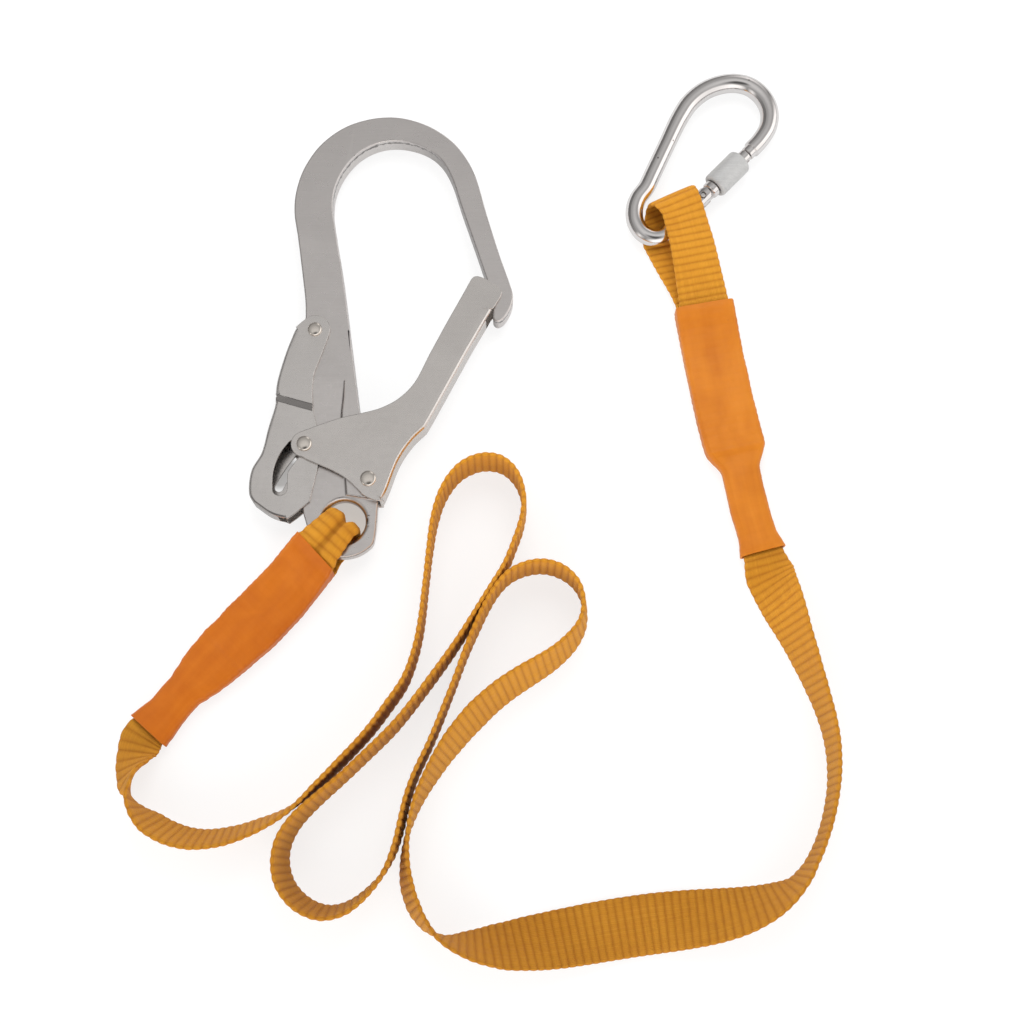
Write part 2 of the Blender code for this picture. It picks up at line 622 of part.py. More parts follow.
def build_carabiner_gate():
    profile = [
        (SHOULDER_S, 3.5), (SHOULDER_S + 0.6, ROD_R), (THIN_S - 0.3, ROD_R),
        (THIN_S, THIN_R + 0.35), (THIN_S, THIN_R), (TIP_S - 0.5, THIN_R), (TIP_S, THIN_R - 0.5),
    ]
    gate = turned_along("carabiner_gate", profile, "bright", origin=along(0))
    blade_s = SHOULDER_S + 1.5
    foot = arc((0, 0), FOOT_R, 65, 290, 15)
    blade_loop = [(blade_s, -BLADE_SIDE), (blade_s, BLADE_SIDE), *foot]
    blade = plate_along("gate_blade", blade_loop, BLADE_HALF)
    slot = box_along("gate_slot", *GATE_SLOT_S, TONGUE_HALF + PLAY)
    hinge_hole = upright("gate_hinge_hole", HINGE, HINGE_PIN_R + PLAY, CAR_DRILL, 14)
    latch_r = LATCH_PIN_R + LATCH_PLAY
    latch_hole = upright("latch_hole", along(LATCH_S), latch_r, CAR_DRILL, 12)
    join(gate, blade)
    cut(gate, slot, hinge_hole, latch_hole)


def build_carabiner_pins():
    for name, dist, radius, half, sides in (
        ("carabiner_hinge_pin", 0, HINGE_PIN_R, 4.0, 14),
        ("carabiner_latch_pin", LATCH_S, LATCH_PIN_R, 3.1, 10),
    ):
        at = along(dist)
        upright(name, at, radius, (CAR_Z - half, CAR_Z + half), sides, "bright", at)


def build_screw_sleeve():
    start, end = SLEEVE_S
    edge_r = SLEEVE_R - SLEEVE_BEVEL_R
    profile = [
        (start, SLEEVE_BORE), (start, edge_r), (start + SLEEVE_BEVEL_S, SLEEVE_R),
        (end - SLEEVE_BEVEL_S, SLEEVE_R), (end, edge_r), (end, SLEEVE_BORE),
    ]
    middle = along((start + end) / 2)
    turned_along("screw_sleeve", profile, "sleeve_metal", 28, middle, bored=True)


def build_plunger():
    """The plunger in the fork's bore, and the compression spring behind it."""
    turned_along("gate_plunger", PLUNGER, "bright", 12, along(PLUNGER[0][0]))
    count = COIL_TURNS * COIL_SEGMENTS
    points = []
    for i in range(count + 1):
        side, up = polar((0, 0), COIL_R, 360 * i / COIL_SEGMENTS)
        points.append(along(COIL_S + COIL_LENGTH * i / count, side, up))
    wire("plunger_spring", points, COIL_WIRE_R, 1, along(COIL_S))


# ---------------------------------------------------------------- splices
def unit(vectors):
    return vectors / np.maximum(np.linalg.norm(vectors, axis=-1, keepdims=True), 1e-9)


def smooth(x):
    x = min(1.0, max(0.0, x))
    return x * x * (3 - 2 * x)


def table(x, rows):
    """Smoothed steps between (x, value) rows."""
    if x <= rows[0][0]:
        return rows[0][1]
    for (x0, value0), (x1, value1) in zip(rows, rows[1:]):
        if x <= x1:
            return value0 + (value1 - value0) * smooth((x - x0) / (x1 - x0))
    return rows[-1][1]


def distances(points):
    """The distance along a line at each of its points."""
    return np.concatenate([[0], np.cumsum(np.linalg.norm(np.diff(points, axis=0), axis=1))])


# One cross-section of the strap. across is its width direction; where that is None, lean is how
# many degrees its upper edge leans to the right of travel.
Station = namedtuple("Station", "x y z width thick across lean", defaults=(0,))


class Splice:
    """A sewn loop of two stacked layers, read by distance from the middle of its fold."""

    def __init__(self, name, line, start, end, tail, middle_z, gap, width, sleeve, bartacks):
        self.name = name
        self.xy = np.array(run_curve(line, 2.0))  # middle line in plan
        self.dist = distances(self.xy)
        self.start, self.end = start, end  # the layers' start after the fold; lower layer's end
        self.tail = tail  # where the upper layer ends
        self.middle_z, self.gap, self.width = middle_z, gap, width  # (distance, value) rows
        self.sleeve, self.bartacks = sleeve, bartacks  # sleeve's ends; bartack places
        self.fold_way = self.way(4.0)
        self.fold_across = self.side(4.0)

    def at(self, dist):
        return np.array([np.interp(dist, self.dist, self.xy[:, axis]) for axis in (0, 1)])

    def way(self, dist):
        return unit(self.at(min(dist + 4, self.dist[-1])) - self.at(max(dist - 4, 0.0)))

    def side(self, dist):
        way = self.way(dist)
        return np.array([-way[1], way[0], 0.0])

    def layer(self, sign, end):
        """Stations of one layer outside the fold; sign is +1 for the upper layer."""
        stations = []
        for dist in np.arange(self.start, end + 1e-6, STRAP_STEP):
            spread = table(dist, self.gap) / 2 * (1 - smooth((dist - self.tail - 2.0) / 14.0))
            width = table(dist, self.width)
            thick = WEB_T
            if dist > self.tail - 6:
                gathered = (SLEEVE_W - width) / (SLEEVE_W - GATHER_W)
                thick += (GATHER_T - WEB_T) * min(1.0, max(0.0, gathered))
            share = smooth((dist - self.start) / 30.0)
            across = unit(self.fold_across * (1 - share) + self.side(dist) * share)
            z = table(dist, self.middle_z) + sign * spread
            stations.append(Station(*self.at(dist), z, width, thick, across))
        return stations

    def upper(self):
        return self.layer(1, self.tail)

    def lower(self):
        return self.layer(-1, self.end)

    def fold_station(self, dist, rise):
        """A station of the fold; rise is its height over the middle of the two layers."""
        x, y = self.xy[0] + self.fold_way * dist
        z = self.middle_z[0][1] + rise
        return Station(x, y, z, self.width[0][1], WEB_T, self.fold_across)


HOOK_SPLICE = Splice(
    "hook",
    line=[
        EYE, (-85.6, -20.2), (-96.6, -33.8), (-107.0, -45.4), (-116.8, -55.8), (-127.0, -65.8),
        (-137.2, -76.6), (-144.4, -84.4), (-150.2, -91.8), (-157.2, -99.6), (-160.4, -103.6),
    ],
    start=8.0,
    end=127.0,
    tail=76.0,
    middle_z=[(17.0, HOOK_Z), (50.0, 4.35)],
    gap=[(17.6, 9.4), (23.5, 5.0), (36.0, 2 * LAYER)],
    width=[
        (8.0, 14.4), (13.0, 18.0), (19.0, 23.4), (22.0, SLEEVE_W), (40.0, 23.6), (60.0, 23.2),
        (72.0, 21.8), (84.0, 20.6), (90.0, 19.0), (96.0, 16.4), (101.0, GATHER_W),
        (111.0, GATHER_W), (120.0, 16.4), (126.0, 18.6),
    ],
    sleeve=(21.0, 123.5),
    bartacks=(46.0, 56.0, 66.0),
)
HOOK_BEND_R, HOOK_BEND_REACH = 3.0, 3.6  # the fold's corner radius; its face's place
CAR_SPLICE = Splice(
    "carabiner",
    line=[
        (76.6, 152.2), (79.0, 142.0), (82.0, 128.0), (85.4, 112.0), (88.6, 96.1), (91.4, 78.2),
        (94.4, 60.2), (97.4, 44.0), (99.4, 34.6), (101.6, 25.2), (103.9, 12.0), (106.6, -1.6),
        (109.2, -11.6), (111.9, -21.6),
    ],
    start=5.8,
    end=182.0,
    tail=127.0,
    middle_z=[(20.0, CAR_Z), (57.0, 6.3), (84.0, 4.35)],
    gap=[(24.0, 11.2), (56.0, 5.0), (70.0, 2 * LAYER)],
    width=[
        (9.0, 18.6), (20.0, 21.5), (34.0, 24.0), (125.0, SLEEVE_W), (138.0, GATHER_W),
        (166.0, GATHER_W), (178.0, 18.5), (184.0, 21.0),
    ],
    sleeve=(57.0, 176.0),
    bartacks=(84.0, 99.0, 114.0),
)


# ---------------------------------------------------------------- webbing strap
# The main run: x, y of the strap's middle, and its lean in degrees (0 on edge, 90 flat)
RUN = [
    (-161.0, -108.8, -73), (-161.8, -115.6, -42), (-162.2, -122.0, -15), (-160.8, -127.8, 4),
    (-157.0, -133.4, 14), (-151.4, -138.2, 19), (-143.6, -142.4, 21), (-133.0, -144.8, 21),
    (-119.5, -143.6, 20), (-106.5, -139.4, 16), (-94.5, -133.2, 9), (-83.0, -123.6, 2),
    (-72.6, -113.4, 0), (-61.8, -101.4, 0), (-52.6, -89.0, 0), (-46.2, -79.4, 0), (-42.2, -68.0, 0),
    (-39.4, -54.0, 0), (-37.4, -36.0, 0), (-36.2, -21.6, 0), (-34.2, -7.6, 0), (-30.0, 5.4, 0),
    (-23.0, 15.2, 0), (-13.6, 19.6, 0), (-4.6, 18.4, 0), (2.0, 12.0, 0), (5.2, 2.0, 0),
    (4.4, -8.4, 0), (1.0, -18.4, 0), (-3.1, -28.5, 0), (-8.9, -38.5, 0), (-15.8, -49.8, 0),
    (-23.8, -62.4, 0), (-31.6, -74.0, 0), (-40.2, -86.0, 0), (-49.4, -97.4, 0), (-60.0, -108.4, 0),
    (-71.4, -119.4, 1), (-82.0, -128.6, 3), (-90.4, -137.2, 5), (-95.4, -146.2, 7),
    (-96.4, -155.2, 9), (-93.8, -164.0, 11), (-87.0, -171.2, 12), (-77.8, -174.6, 12),
    (-68.6, -172.8, 11), (-60.0, -166.6, 8), (-53.4, -158.6, 4), (-49.4, -149.8, 1),
    (-46.8, -140.2, 0), (-44.2, -129.0, 0), (-40.6, -118.2, 0), (-35.6, -107.0, 0),
    (-30.2, -94.0, 0), (-24.9, -80.4, 0), (-19.9, -66.0, 0), (-14.3, -53.0, 0), (-8.2, -41.0, 0),
    (-2.0, -33.2, 0), (5.2, -29.2, 0), (13.6, -28.0, 0), (22.0, -30.6, 0), (28.6, -36.8, 1),
    (31.4, -45.4, 3), (30.4, -54.0, 6), (25.4, -61.6, 10), (17.0, -69.0, 13), (6.2, -76.0, 16),
    (-4.6, -83.4, 18), (-15.2, -92.8, 19), (-25.4, -105.0, 15), (-33.6, -117.6, 9),
    (-39.8, -129.4, 3), (-43.4, -141.4, -4), (-44.6, -153.0, -9), (-43.6, -164.0, -13),
    (-40.4, -173.2, -13), (-35.4, -180.2, -8), (-28.6, -185.0, 4), (-18.0, -187.6, 25),
    (-5.0, -188.2, 46), (9.0, -186.7, 62), (22.0, -184.8, 74), (34.5, -182.7, 82),
    (47.5, -180.6, 86), (60.5, -178.8, 84), (73.5, -177.3, 74), (86.5, -175.6, 60),
    (98.5, -173.0, 45), (109.5, -168.9, 28), (118.6, -163.0, 10), (124.6, -155.0, 2),
    (129.4, -145.4, 0), (133.4, -134.0, 0), (136.0, -121.6, 0), (136.4, -109.6, 1),
    (135.2, -98.6, 3), (132.4, -86.6, 6), (128.6, -74.6, 11), (124.4, -62.6, 19),
    (120.2, -50.4, 30), (116.6, -39.0, 46), (113.9, -29.4, 66),
]
RUN_NARROWING = (5.0, 3.0)  # width lost at the hook end and at the carabiner end
RUN_EASE = 22.0  # length over which the ends ease into the splices
RUN_END_Z = 4.25
EASED_STATIONS, EASE_PASSES = 5, 4


def hook_fold():
    """Down through the eye, with two rounded corners."""
    corner_z = HOOK_SPLICE.gap[0][1] / 2 - HOOK_BEND_R
    stations = []
    for sign, angles in ((1, range(15, 91, 15)), (-1, range(90, 14, -15))):
        for angle in angles:
            across, rise = polar((0, corner_z), HOOK_BEND_R, 90 - angle)
            dist = HOOK_BEND_REACH + HOOK_BEND_R - across
            rise = corner_z + HOOK_BEND_R * math.cos(math.radians(angle))
            stations.append(HOOK_SPLICE.fold_station(dist, sign * rise))
    return stations


def carabiner_fold():
    """From under the ring's rod round to the top."""
    radius = CAR_SPLICE.gap[0][1] / 2
    stations = []
    for angle in range(-75, 76, 15):
        reach, rise = polar((0, 0), radius, angle)
        stations.append(CAR_SPLICE.fold_station(CAR_SPLICE.start - reach, rise))
    return stations


def run_stations():
    run = np.array(run_curve([knot[:2] for knot in RUN], STRAP_STEP))
    knots = np.array(RUN, float)
    dists = distances(run)
    spots = [dists[int(np.argmin(np.linalg.norm(run - knot[:2], axis=1)))] for knot in knots]
    leans = np.interp(dists, spots, knots[:, 2])
    stations = []
    for (x, y), lean, dist in zip(run, leans, dists):
        cos, sin = abs(math.cos(math.radians(lean))), abs(math.sin(math.radians(lean)))
        near = min(dist, dists[-1] - dist)
        narrowing = RUN_NARROWING[0 if dist < dists[-1] / 2 else 1]
        width = WEB_W - narrowing * (1 - smooth(near / RUN_EASE))
        z = FLOOR_GAP + width / 2 * cos + WEB_T / 2 * sin
        # both ends rise or sink to the sleeve they enter
        z += (RUN_END_Z - z) * (1 - smooth((near + 6.0) / RUN_EASE)) * sin**2
        stations.append(Station(x, y, z, width, WEB_T, None, lean))
    return stations


def width_direction(station, way):
    if station.across is not None:
        return station.across
    right = unit(np.array([way[1], -way[0], 0.0]))
    lean = math.radians(station.lean)
    return np.cross(right, way) * math.cos(lean) + right * math.sin(lean)


def build_strap():
    """The whole strap, from its tail in the hook splice to its tail in the carabiner splice."""
    stations = HOOK_SPLICE.upper()[::-1] + hook_fold() + HOOK_SPLICE.lower()
    run_start = len(stations)
    stations += run_stations()
    run_end = len(stations)
    stations += CAR_SPLICE.lower()[::-1] + carabiner_fold() + CAR_SPLICE.upper()

    middles = np.array([station[:3] for station in stations])
    ways = unit(np.gradient(middles, axis=0))
    across = np.array([width_direction(station, way) for station, way in zip(stations, ways)])
    # ease the width direction over the two places where a splice meets the main run
    spans = ((run_start, run_start + EASED_STATIONS), (run_end - EASED_STATIONS, run_end))
    for _ in range(EASE_PASSES):
        for i, j in spans:
            total = across[i - 1 : j - 1] + across[i:j] * 2 + across[i + 1 : j + 1]
            across[i:j] = unit(total / 4)
    across = unit(across - (across * ways).sum(axis=1, keepdims=True) * ways)
    normals = np.cross(ways, across)
    half_w = np.array([station.width for station in stations]) / 2
    half_t = np.array([station.thick for station in stations]) / 2
    # no edge goes below the plane the strap lies on
    lowest = FLOOR_GAP + half_w * abs(across[:, 2]) + half_t * abs(normals[:, 2])
    middles[:, 2] = np.maximum(middles[:, 2], lowest)

    wide, deep = across * half_w[:, None], normals * half_t[:, None]
    rings = [
        [middle + w + d, middle - w + d, middle - w - d, middle + w - d]
        for middle, w, d in zip(middles, wide, deep)
    ]
    loft("webbing_strap", rings, look="web", origin=(*middles[0][:2], 0))


# ---------------------------------------------------------------- shrink sleeves and stitching
SLEEVE_RINGS, SLEEVE_SIDES = 24, 14
SLEEVE_GAP_W, SLEEVE_GAP_H = 0.65, 1.1  # clearance round the two layers
GATHER_HALF_H = 2.6
SQUARENESS, ROUNDING = 0.22, 0.1  # superellipse power; its rise in height over the gather
BARTACK_HALF, BARTACK_POINTS, BARTACK_ZIGZAG = 8.5, 9, 0.9
BARTACK_LIFT = 0.3
BARTACK_SECTION = ((-0.9, 0.0), (0.9, 0.0), (0.7, 0.45), (-0.7, 0.45))  # along the strap, up


def signed_power(value, power):
    return math.copysign(abs(value) ** power, value)


def sleeve_ring(splice, dist, extra):
    """One ring of the sleeve's inner surface, or of its outer one with the wall as extra."""
    x, y = splice.at(dist)
    side = splice.side(dist)
    share = smooth((dist - splice.tail - 1.0) / 13.0)
    half_w = max(table(dist, splice.width), GATHER_W) / 2 + SLEEVE_GAP_W + extra
    layers_h = table(dist, splice.gap) / 2 + WEB_T / 2 + SLEEVE_GAP_H
    half_h = layers_h * (1 - share) + GATHER_HALF_H * share + extra
    z = table(dist, splice.middle_z)
    ring = []
    for k in range(SLEEVE_SIDES):
        angle = 2 * math.pi * (k + 0.5) / SLEEVE_SIDES
        out = half_w * signed_power(math.cos(angle), SQUARENESS)
        rise = half_h * signed_power(math.sin(angle), SQUARENESS + ROUNDING * share)
        ring.append((x + side[0] * out, y + side[1] * out, z + rise))
    return ring


def build_sleeve(splice):
    """A thin open-ended sleeve: wide over two layers, narrower and rounder over the gather."""
    name = splice.name + "_end_sleeve"
    start = splice.sleeve[0]
    dists = np.linspace(*splice.sleeve, SLEEVE_RINGS)
    # the closed path runs out over the outer surface and back through the inner one
    verts = []
    for extra in (SLEEVE_WALL, 0.0):
        for dist in dists:
            verts += sleeve_ring(splice, dist, extra)
    count, inner = SLEEVE_SIDES, SLEEVE_RINGS * SLEEVE_SIDES
    faces = []
    for i in range(0, inner - count, count):
        for k in range(count):
            j = (k + 1) % count
            faces.append([i + k, i + j, i + count + j, i + count + k])
            low, high = inner + i, inner + i + count
            faces.append([low + k, high + k, high + j, low + j])
    last = inner - count
    for k in range(count):
        j = (k + 1) % count
        faces.append([k, inner + k, inner + j, j])
        faces.append([last + k, last + j, inner + last + j, inner + last + k])
    origin = (*splice.at(start), table(start, splice.middle_z))
    make_object(name, mesh_of(name, verts, faces), origin, "shrink")


def build_bartacks(splice):
    """Dense stitch bars over the upper layer, under the sleeve."""
    for number, dist in enumerate(splice.bartacks, 1):
        middle, way, side = splice.at(dist), splice.way(dist), splice.side(dist)[:2]
        layer_z = table(dist, splice.middle_z) + table(dist, splice.gap) / 2
        z = layer_z + WEB_T / 2 + BARTACK_LIFT
        rings = []
        for k in range(BARTACK_POINTS):
            out = -BARTACK_HALF + 2 * BARTACK_HALF * k / (BARTACK_POINTS - 1)
            x, y = middle + side * out + way * (BARTACK_ZIGZAG if k % 2 else -BARTACK_ZIGZAG)
            rings.append([(x + way[0] * s, y + way[1] * s, z + up) for s, up in BARTACK_SECTION])
        loft(f"{splice.name}_bartack_{number}", rings, look="thread", origin=(*middle, z))


build_hook()
build_gate()
build_lever()
for rivet in RIVETS:
    build_rivet(*rivet)
for torsion_spring in SPRINGS:
    build_torsion_spring(torsion_spring)
build_carabiner_body()
build_carabiner_gate()
build_carabiner_pins()
build_screw_sleeve()
build_plunger()
build_strap()
for loop_splice in (HOOK_SPLICE, CAR_SPLICE):
    build_sleeve(loop_splice)
    build_bartacks(loop_splice)
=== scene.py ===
"""A webbing lanyard with a scaffold hook and a screw carabiner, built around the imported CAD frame.

It lies on the floor, +Z up: hook on the left (-X), carabiner on the right, strap wound in front
(-Y). Lengths are millimetres in the layout's own coordinates; the scene is in metres.
"""

import math

import bmesh
import bpy
import numpy as np
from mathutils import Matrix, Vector, noise
from mathutils.bvhtree import BVHTree


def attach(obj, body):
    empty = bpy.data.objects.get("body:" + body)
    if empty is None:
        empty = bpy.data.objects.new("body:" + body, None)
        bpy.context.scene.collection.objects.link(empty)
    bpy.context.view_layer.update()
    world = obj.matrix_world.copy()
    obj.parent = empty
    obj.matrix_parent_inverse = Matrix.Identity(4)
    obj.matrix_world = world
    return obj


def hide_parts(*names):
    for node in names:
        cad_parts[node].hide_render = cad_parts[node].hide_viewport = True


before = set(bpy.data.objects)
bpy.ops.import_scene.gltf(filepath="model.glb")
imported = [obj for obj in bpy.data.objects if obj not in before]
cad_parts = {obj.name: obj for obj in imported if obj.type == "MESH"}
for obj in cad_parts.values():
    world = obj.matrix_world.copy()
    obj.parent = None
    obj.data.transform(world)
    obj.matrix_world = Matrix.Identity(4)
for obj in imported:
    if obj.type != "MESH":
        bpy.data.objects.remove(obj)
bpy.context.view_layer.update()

MM = 0.001
# Layout point that lies over the frame's origin
MIDDLE_X, MIDDLE_Y = -16.47, 8.84

# ---------------------------------------------------------------- scaffold hook
FINE = 1.2  # spacing of outline points on the visible metal
HOOK_Z = 8.1  # height of the hook's middle plane over the floor
BOW_HALF = 4.8  # half thickness of the plate round the bow
SHANK_HALF = 4.2
LUG_HALF = 3.2  # the pressed area under the lever, and the eye lug
EYE = (-74.2, -7.1)
EYE_R = 9.4
EYE_RIM = 1.3  # width of the slope round the eye
LUG_R = 16.4
GATE_PIVOT = (-63.7, 11.4)
CAM_PIN = (-92.6, 27.6)
LEVER_PIVOT = (-89.7, 82.3)
GATE_IN, GATE_OUT = 5.1, 6.5  # inner and outer faces of the gate's cheeks
LEVER_UP_IN, LEVER_UP_OUT = 4.5, 5.7
LEVER_LOW_IN, LEVER_LOW_OUT = 3.5, 4.7
RIVET_R, RIVET_DOME = 2.5, 1.3
RIVET_BAND = 0.28  # height of the head's straight side
RIVET_GAP = 0.3  # from the cheek to the underside of the head
CAM_R = 1.5
PLAY = 0.35
GATE_OPEN_DEG, LEVER_PRESS_DEG = 33.0, 6.0

# ---------------------------------------------------------------- carabiner
CAR_Z = 7.0
ROD_R, ROD_TOP_R = 4.1, 4.5
HINGE = (89.4, 150.7)
GATE_DIR = (0.69, 0.7238)
# Distances from the hinge along the gate: step of the nose, end of its thin stub
NOSE_S, STUB_S = 35.0, 31.9
THIN_R = 3.35
SHOULDER_S, THIN_S, TIP_S = 4.9, 8.2, 31.5
SLEEVE_S = (8.6, 27.2)
SLEEVE_R, SLEEVE_BORE, SLEEVE_ROUND = 6.1, 3.75, 1.3
LATCH_S = 29.9
HINGE_PIN_R, LATCH_PIN_R = 1.2, 0.7
SLOT_HALF, BLADE_HALF, FOOT_R, TONGUE_HALF = 1.5, 1.15, 3.6, 1.1

# ---------------------------------------------------------------- webbing
WEB_W, WEB_T = 25.0, 2.0
SLEEVE_W = 24.0  # strap width inside a shrink sleeve
GATHER_W, GATHER_T = 14.0, 3.4  # width and thickness where the strap is gathered
SLEEVE_WALL = 0.8
LAYER = 1.25  # half the spacing of two stacked layers
FLOOR_GAP = 0.01
ROW_STEP = 5.4  # spacing of the rows that steer the strap
STATION = 0.42  # spacing of the rings of its mesh
RIB = 3.4  # rib pitch
YARN = 0.78
FOLD_SPOT = 4.0  # distance at which a splice's direction at its fold is read
HOOK_FOLD, CAR_FOLD = 8.0, 5.8  # distances at which the layers leave their folds
MOUTH_Z = 4.25  # height of the strap where it enters a sleeve

# The main run: x, y of the strap's middle, and how far its upper edge leans to the right of
# travel, in degrees (0 stands on edge, 90 lies flat)
RUN = [
    (-161.0, -108.8, -73), (-161.8, -115.6, -42), (-162.2, -122.0, -15), (-160.8, -127.8, 4),
    (-157.0, -133.4, 14), (-151.4, -138.2, 19), (-143.6, -142.4, 21), (-133.0, -144.8, 21),
    (-119.5, -143.6, 20), (-106.5, -139.4, 16), (-94.5, -133.2, 9), (-83.0, -123.6, 2),
    (-72.6, -113.4, 0), (-61.8, -101.4, 0), (-52.6, -89.0, 0), (-46.2, -79.4, 0),
    (-42.2, -68.0, 0), (-39.4, -54.0, 0), (-37.4, -36.0, 0), (-36.2, -21.6, 0),
    (-34.2, -7.6, 0), (-30.0, 5.4, 0), (-23.0, 15.2, 0), (-13.6, 19.6, 0), (-4.6, 18.4, 0),
    (2.0, 12.0, 0), (5.2, 2.0, 0), (4.4, -8.4, 0), (1.0, -18.4, 0), (-3.1, -28.5, 0),
    (-8.9, -38.5, 0), (-15.8, -49.8, 0), (-23.8, -62.4, 0), (-31.6, -74.0, 0), (-40.2, -86.0, 0),
    (-49.4, -97.4, 0), (-60.0, -108.4, 0), (-71.4, -119.4, 1), (-82.0, -128.6, 3),
    (-90.4, -137.2, 5), (-95.4, -146.2, 7), (-96.4, -155.2, 9), (-93.8, -164.0, 11),
    (-87.0, -171.2, 12), (-77.8, -174.6, 12), (-68.6, -172.8, 11), (-60.0, -166.6, 8),
    (-53.4, -158.6, 4), (-49.4, -149.8, 1), (-46.8, -140.2, 0), (-44.2, -129.0, 0),
    (-40.6, -118.2, 0), (-35.6, -107.0, 0), (-30.2, -94.0, 0), (-24.9, -80.4, 0),
    (-19.9, -66.0, 0), (-14.3, -53.0, 0), (-8.2, -41.0, 0), (-2.0, -33.2, 0), (5.2, -29.2, 0),
    (13.6, -28.0, 0), (22.0, -30.6, 0), (28.6, -36.8, 1), (31.4, -45.4, 3), (30.4, -54.0, 6),
    (25.4, -61.6, 10), (17.0, -69.0, 13), (6.2, -76.0, 16), (-4.6, -83.4, 18),
    (-15.2, -92.8, 19), (-25.4, -105.0, 15), (-33.6, -117.6, 9), (-39.8, -129.4, 3),
    (-43.4, -141.4, -4), (-44.6, -153.0, -9), (-43.6, -164.0, -13), (-40.4, -173.2, -13),
    (-35.4, -180.2, -8), (-28.6, -185.0, 4), (-18.0, -187.6, 25), (-5.0, -188.2, 46),
    (9.0, -186.7, 62), (22.0, -184.8, 74), (34.5, -182.7, 82), (47.5, -180.6, 86),
    (60.5, -178.8, 84), (73.5, -177.3, 74), (86.5, -175.6, 60), (98.5, -173.0, 45),
    (109.5, -168.9, 28), (118.6, -163.0, 10), (124.6, -155.0, 2), (129.4, -145.4, 0),
    (133.4, -134.0, 0), (136.0, -121.6, 0), (136.4, -109.6, 1), (135.2, -98.6, 3),
    (132.4, -86.6, 6), (128.6, -74.6, 11), (124.4, -62.6, 19), (120.2, -50.4, 30),
    (116.6, -39.0, 46), (113.9, -29.4, 66),
]


# ================================================================ curves and tables
def distances(points):
    """Distance of each point from the first, along the chords."""
    return np.concatenate([[0], np.cumsum(np.linalg.norm(np.diff(points, axis=0), axis=1))])


def unit(vectors):
    return vectors / np.maximum(np.linalg.norm(vectors, axis=-1, keepdims=True), 1e-9)


def smooth(x):
    x = min(1.0, max(0.0, x))
    return x * x * (3 - 2 * x)


def eased(x, rows):
    """Smoothed steps between (x, value) rows."""
    if x <= rows[0][0]:
        return rows[0][1]
    for (x0, start), (x1, end) in zip(rows, rows[1:]):
        if x <= x1:
            return start + (end - start) * smooth((x - x0) / (x1 - x0))
    return rows[-1][1]


def straight(x, rows):
    """Straight lines between (x, value) rows."""
    return np.interp(x, *zip(*rows))


def run_curve(points, step):
    """A smooth curve through the points (Catmull-Rom with chord spacing), about step apart."""
    points = np.array(points, float)
    if len(points) == 2:
        return [tuple(points[0]), tuple(points[1])]
    gaps = np.maximum(np.linalg.norm(np.diff(points, axis=0), axis=1), 1e-6) ** 0.5
    knots = np.concatenate([[0], np.cumsum(gaps)])
    knots = np.concatenate([[-gaps[0]], knots, [knots[-1] + gaps[-1]]])
    hull = np.vstack([2 * points[0] - points[1], points, 2 * points[-1] - points[-2]])

    def between(j, k, start, end):
        return ((knots[k] - x) * start + (x - knots[j]) * end) / (knots[k] - knots[j])

    curve = []
    for i in range(1, len(hull) - 2):
        count = max(1, int(round(np.linalg.norm(hull[i + 1] - hull[i]) / step)))
        for part in range(count):
            x = knots[i] + (knots[i + 1] - knots[i]) * part / count
            before = between(i - 1, i, hull[i - 1], hull[i])
            here = between(i, i + 1, hull[i], hull[i + 1])
            after = between(i + 1, i + 2, hull[i + 1], hull[i + 2])
            start = between(i - 1, i + 1, before, here)
            end = between(i, i + 2, here, after)
            curve.append(tuple(between(i, i + 1, start, end)))
    curve.append(tuple(points[-1]))
    return curve


def outline(points, step):
    """A closed outline through (x, y) points; (x, y, 1) is a corner. Runs between are smooth."""
    first = next(i for i, point in enumerate(points) if len(point) > 2)
    points = points[first:] + points[:first]
    corners = [i for i, point in enumerate(points) if len(point) > 2] + [len(points)]
    flat = [point[:2] for point in points] + [points[0][:2]]
    loop = []
    for start, end in zip(corners, corners[1:]):
        loop += run_curve(flat[start : end + 1], step)[:-1]
    return loop


def arc(centre, radius, start, end, count):
    """Points on an arc, in degrees."""
    angles = [math.radians(start + (end - start) * i / count) for i in range(count + 1)]
    return [
        (centre[0] + radius * math.cos(angle), centre[1] + radius * math.sin(angle))
        for angle in angles
    ]


def thick_line(points, radius, ends):
    """Outline of a round-ended band of that half width; ends is half the parts of each end."""
    spine = [Vector(point) for point in points]
    left, right = [], []
    for i, point in enumerate(spine):
        way = (spine[min(i + 1, len(spine) - 1)] - spine[max(i - 1, 0)]).normalized()
        side = Vector((-way.y, way.x))
        left.append(tuple(point + side * radius))
        right.append(tuple(point - side * radius))
    way_in, way_out = spine[1] - spine[0], spine[-1] - spine[-2]
    turn_in = math.degrees(math.atan2(way_in.y, way_in.x))
    turn_out = math.degrees(math.atan2(way_out.y, way_out.x))
    far_end = arc(points[-1], radius, turn_out + 90, turn_out - 90, 2 * ends)[1:-1]
    near_end = arc(points[0], radius, turn_in - 90, turn_in - 270, 2 * ends)[1:-1]
    return left + far_end + right[::-1] + near_end


def turn_about(point, centre, degrees):
    cosine, sine = math.cos(math.radians(degrees)), math.sin(math.radians(degrees))
    x, y = point[0] - centre[0], point[1] - centre[1]
    return (centre[0] + x * cosine - y * sine, centre[1] + x * sine + y * cosine)


def edge_x(edge, y):
    """x of an edge, given as outline points, at height y of the plan."""
    return straight(y, sorted((point[1], point[0]) for point in edge))


# ================================================================ building helpers
def metres(point):
    return ((point[0] - MIDDLE_X) * MM, (point[1] - MIDDLE_Y) * MM, point[2] * MM)


def add(name, data):
    piece = bpy.data.objects.new(name, data)
    bpy.context.scene.collection.objects.link(piece)
    return piece


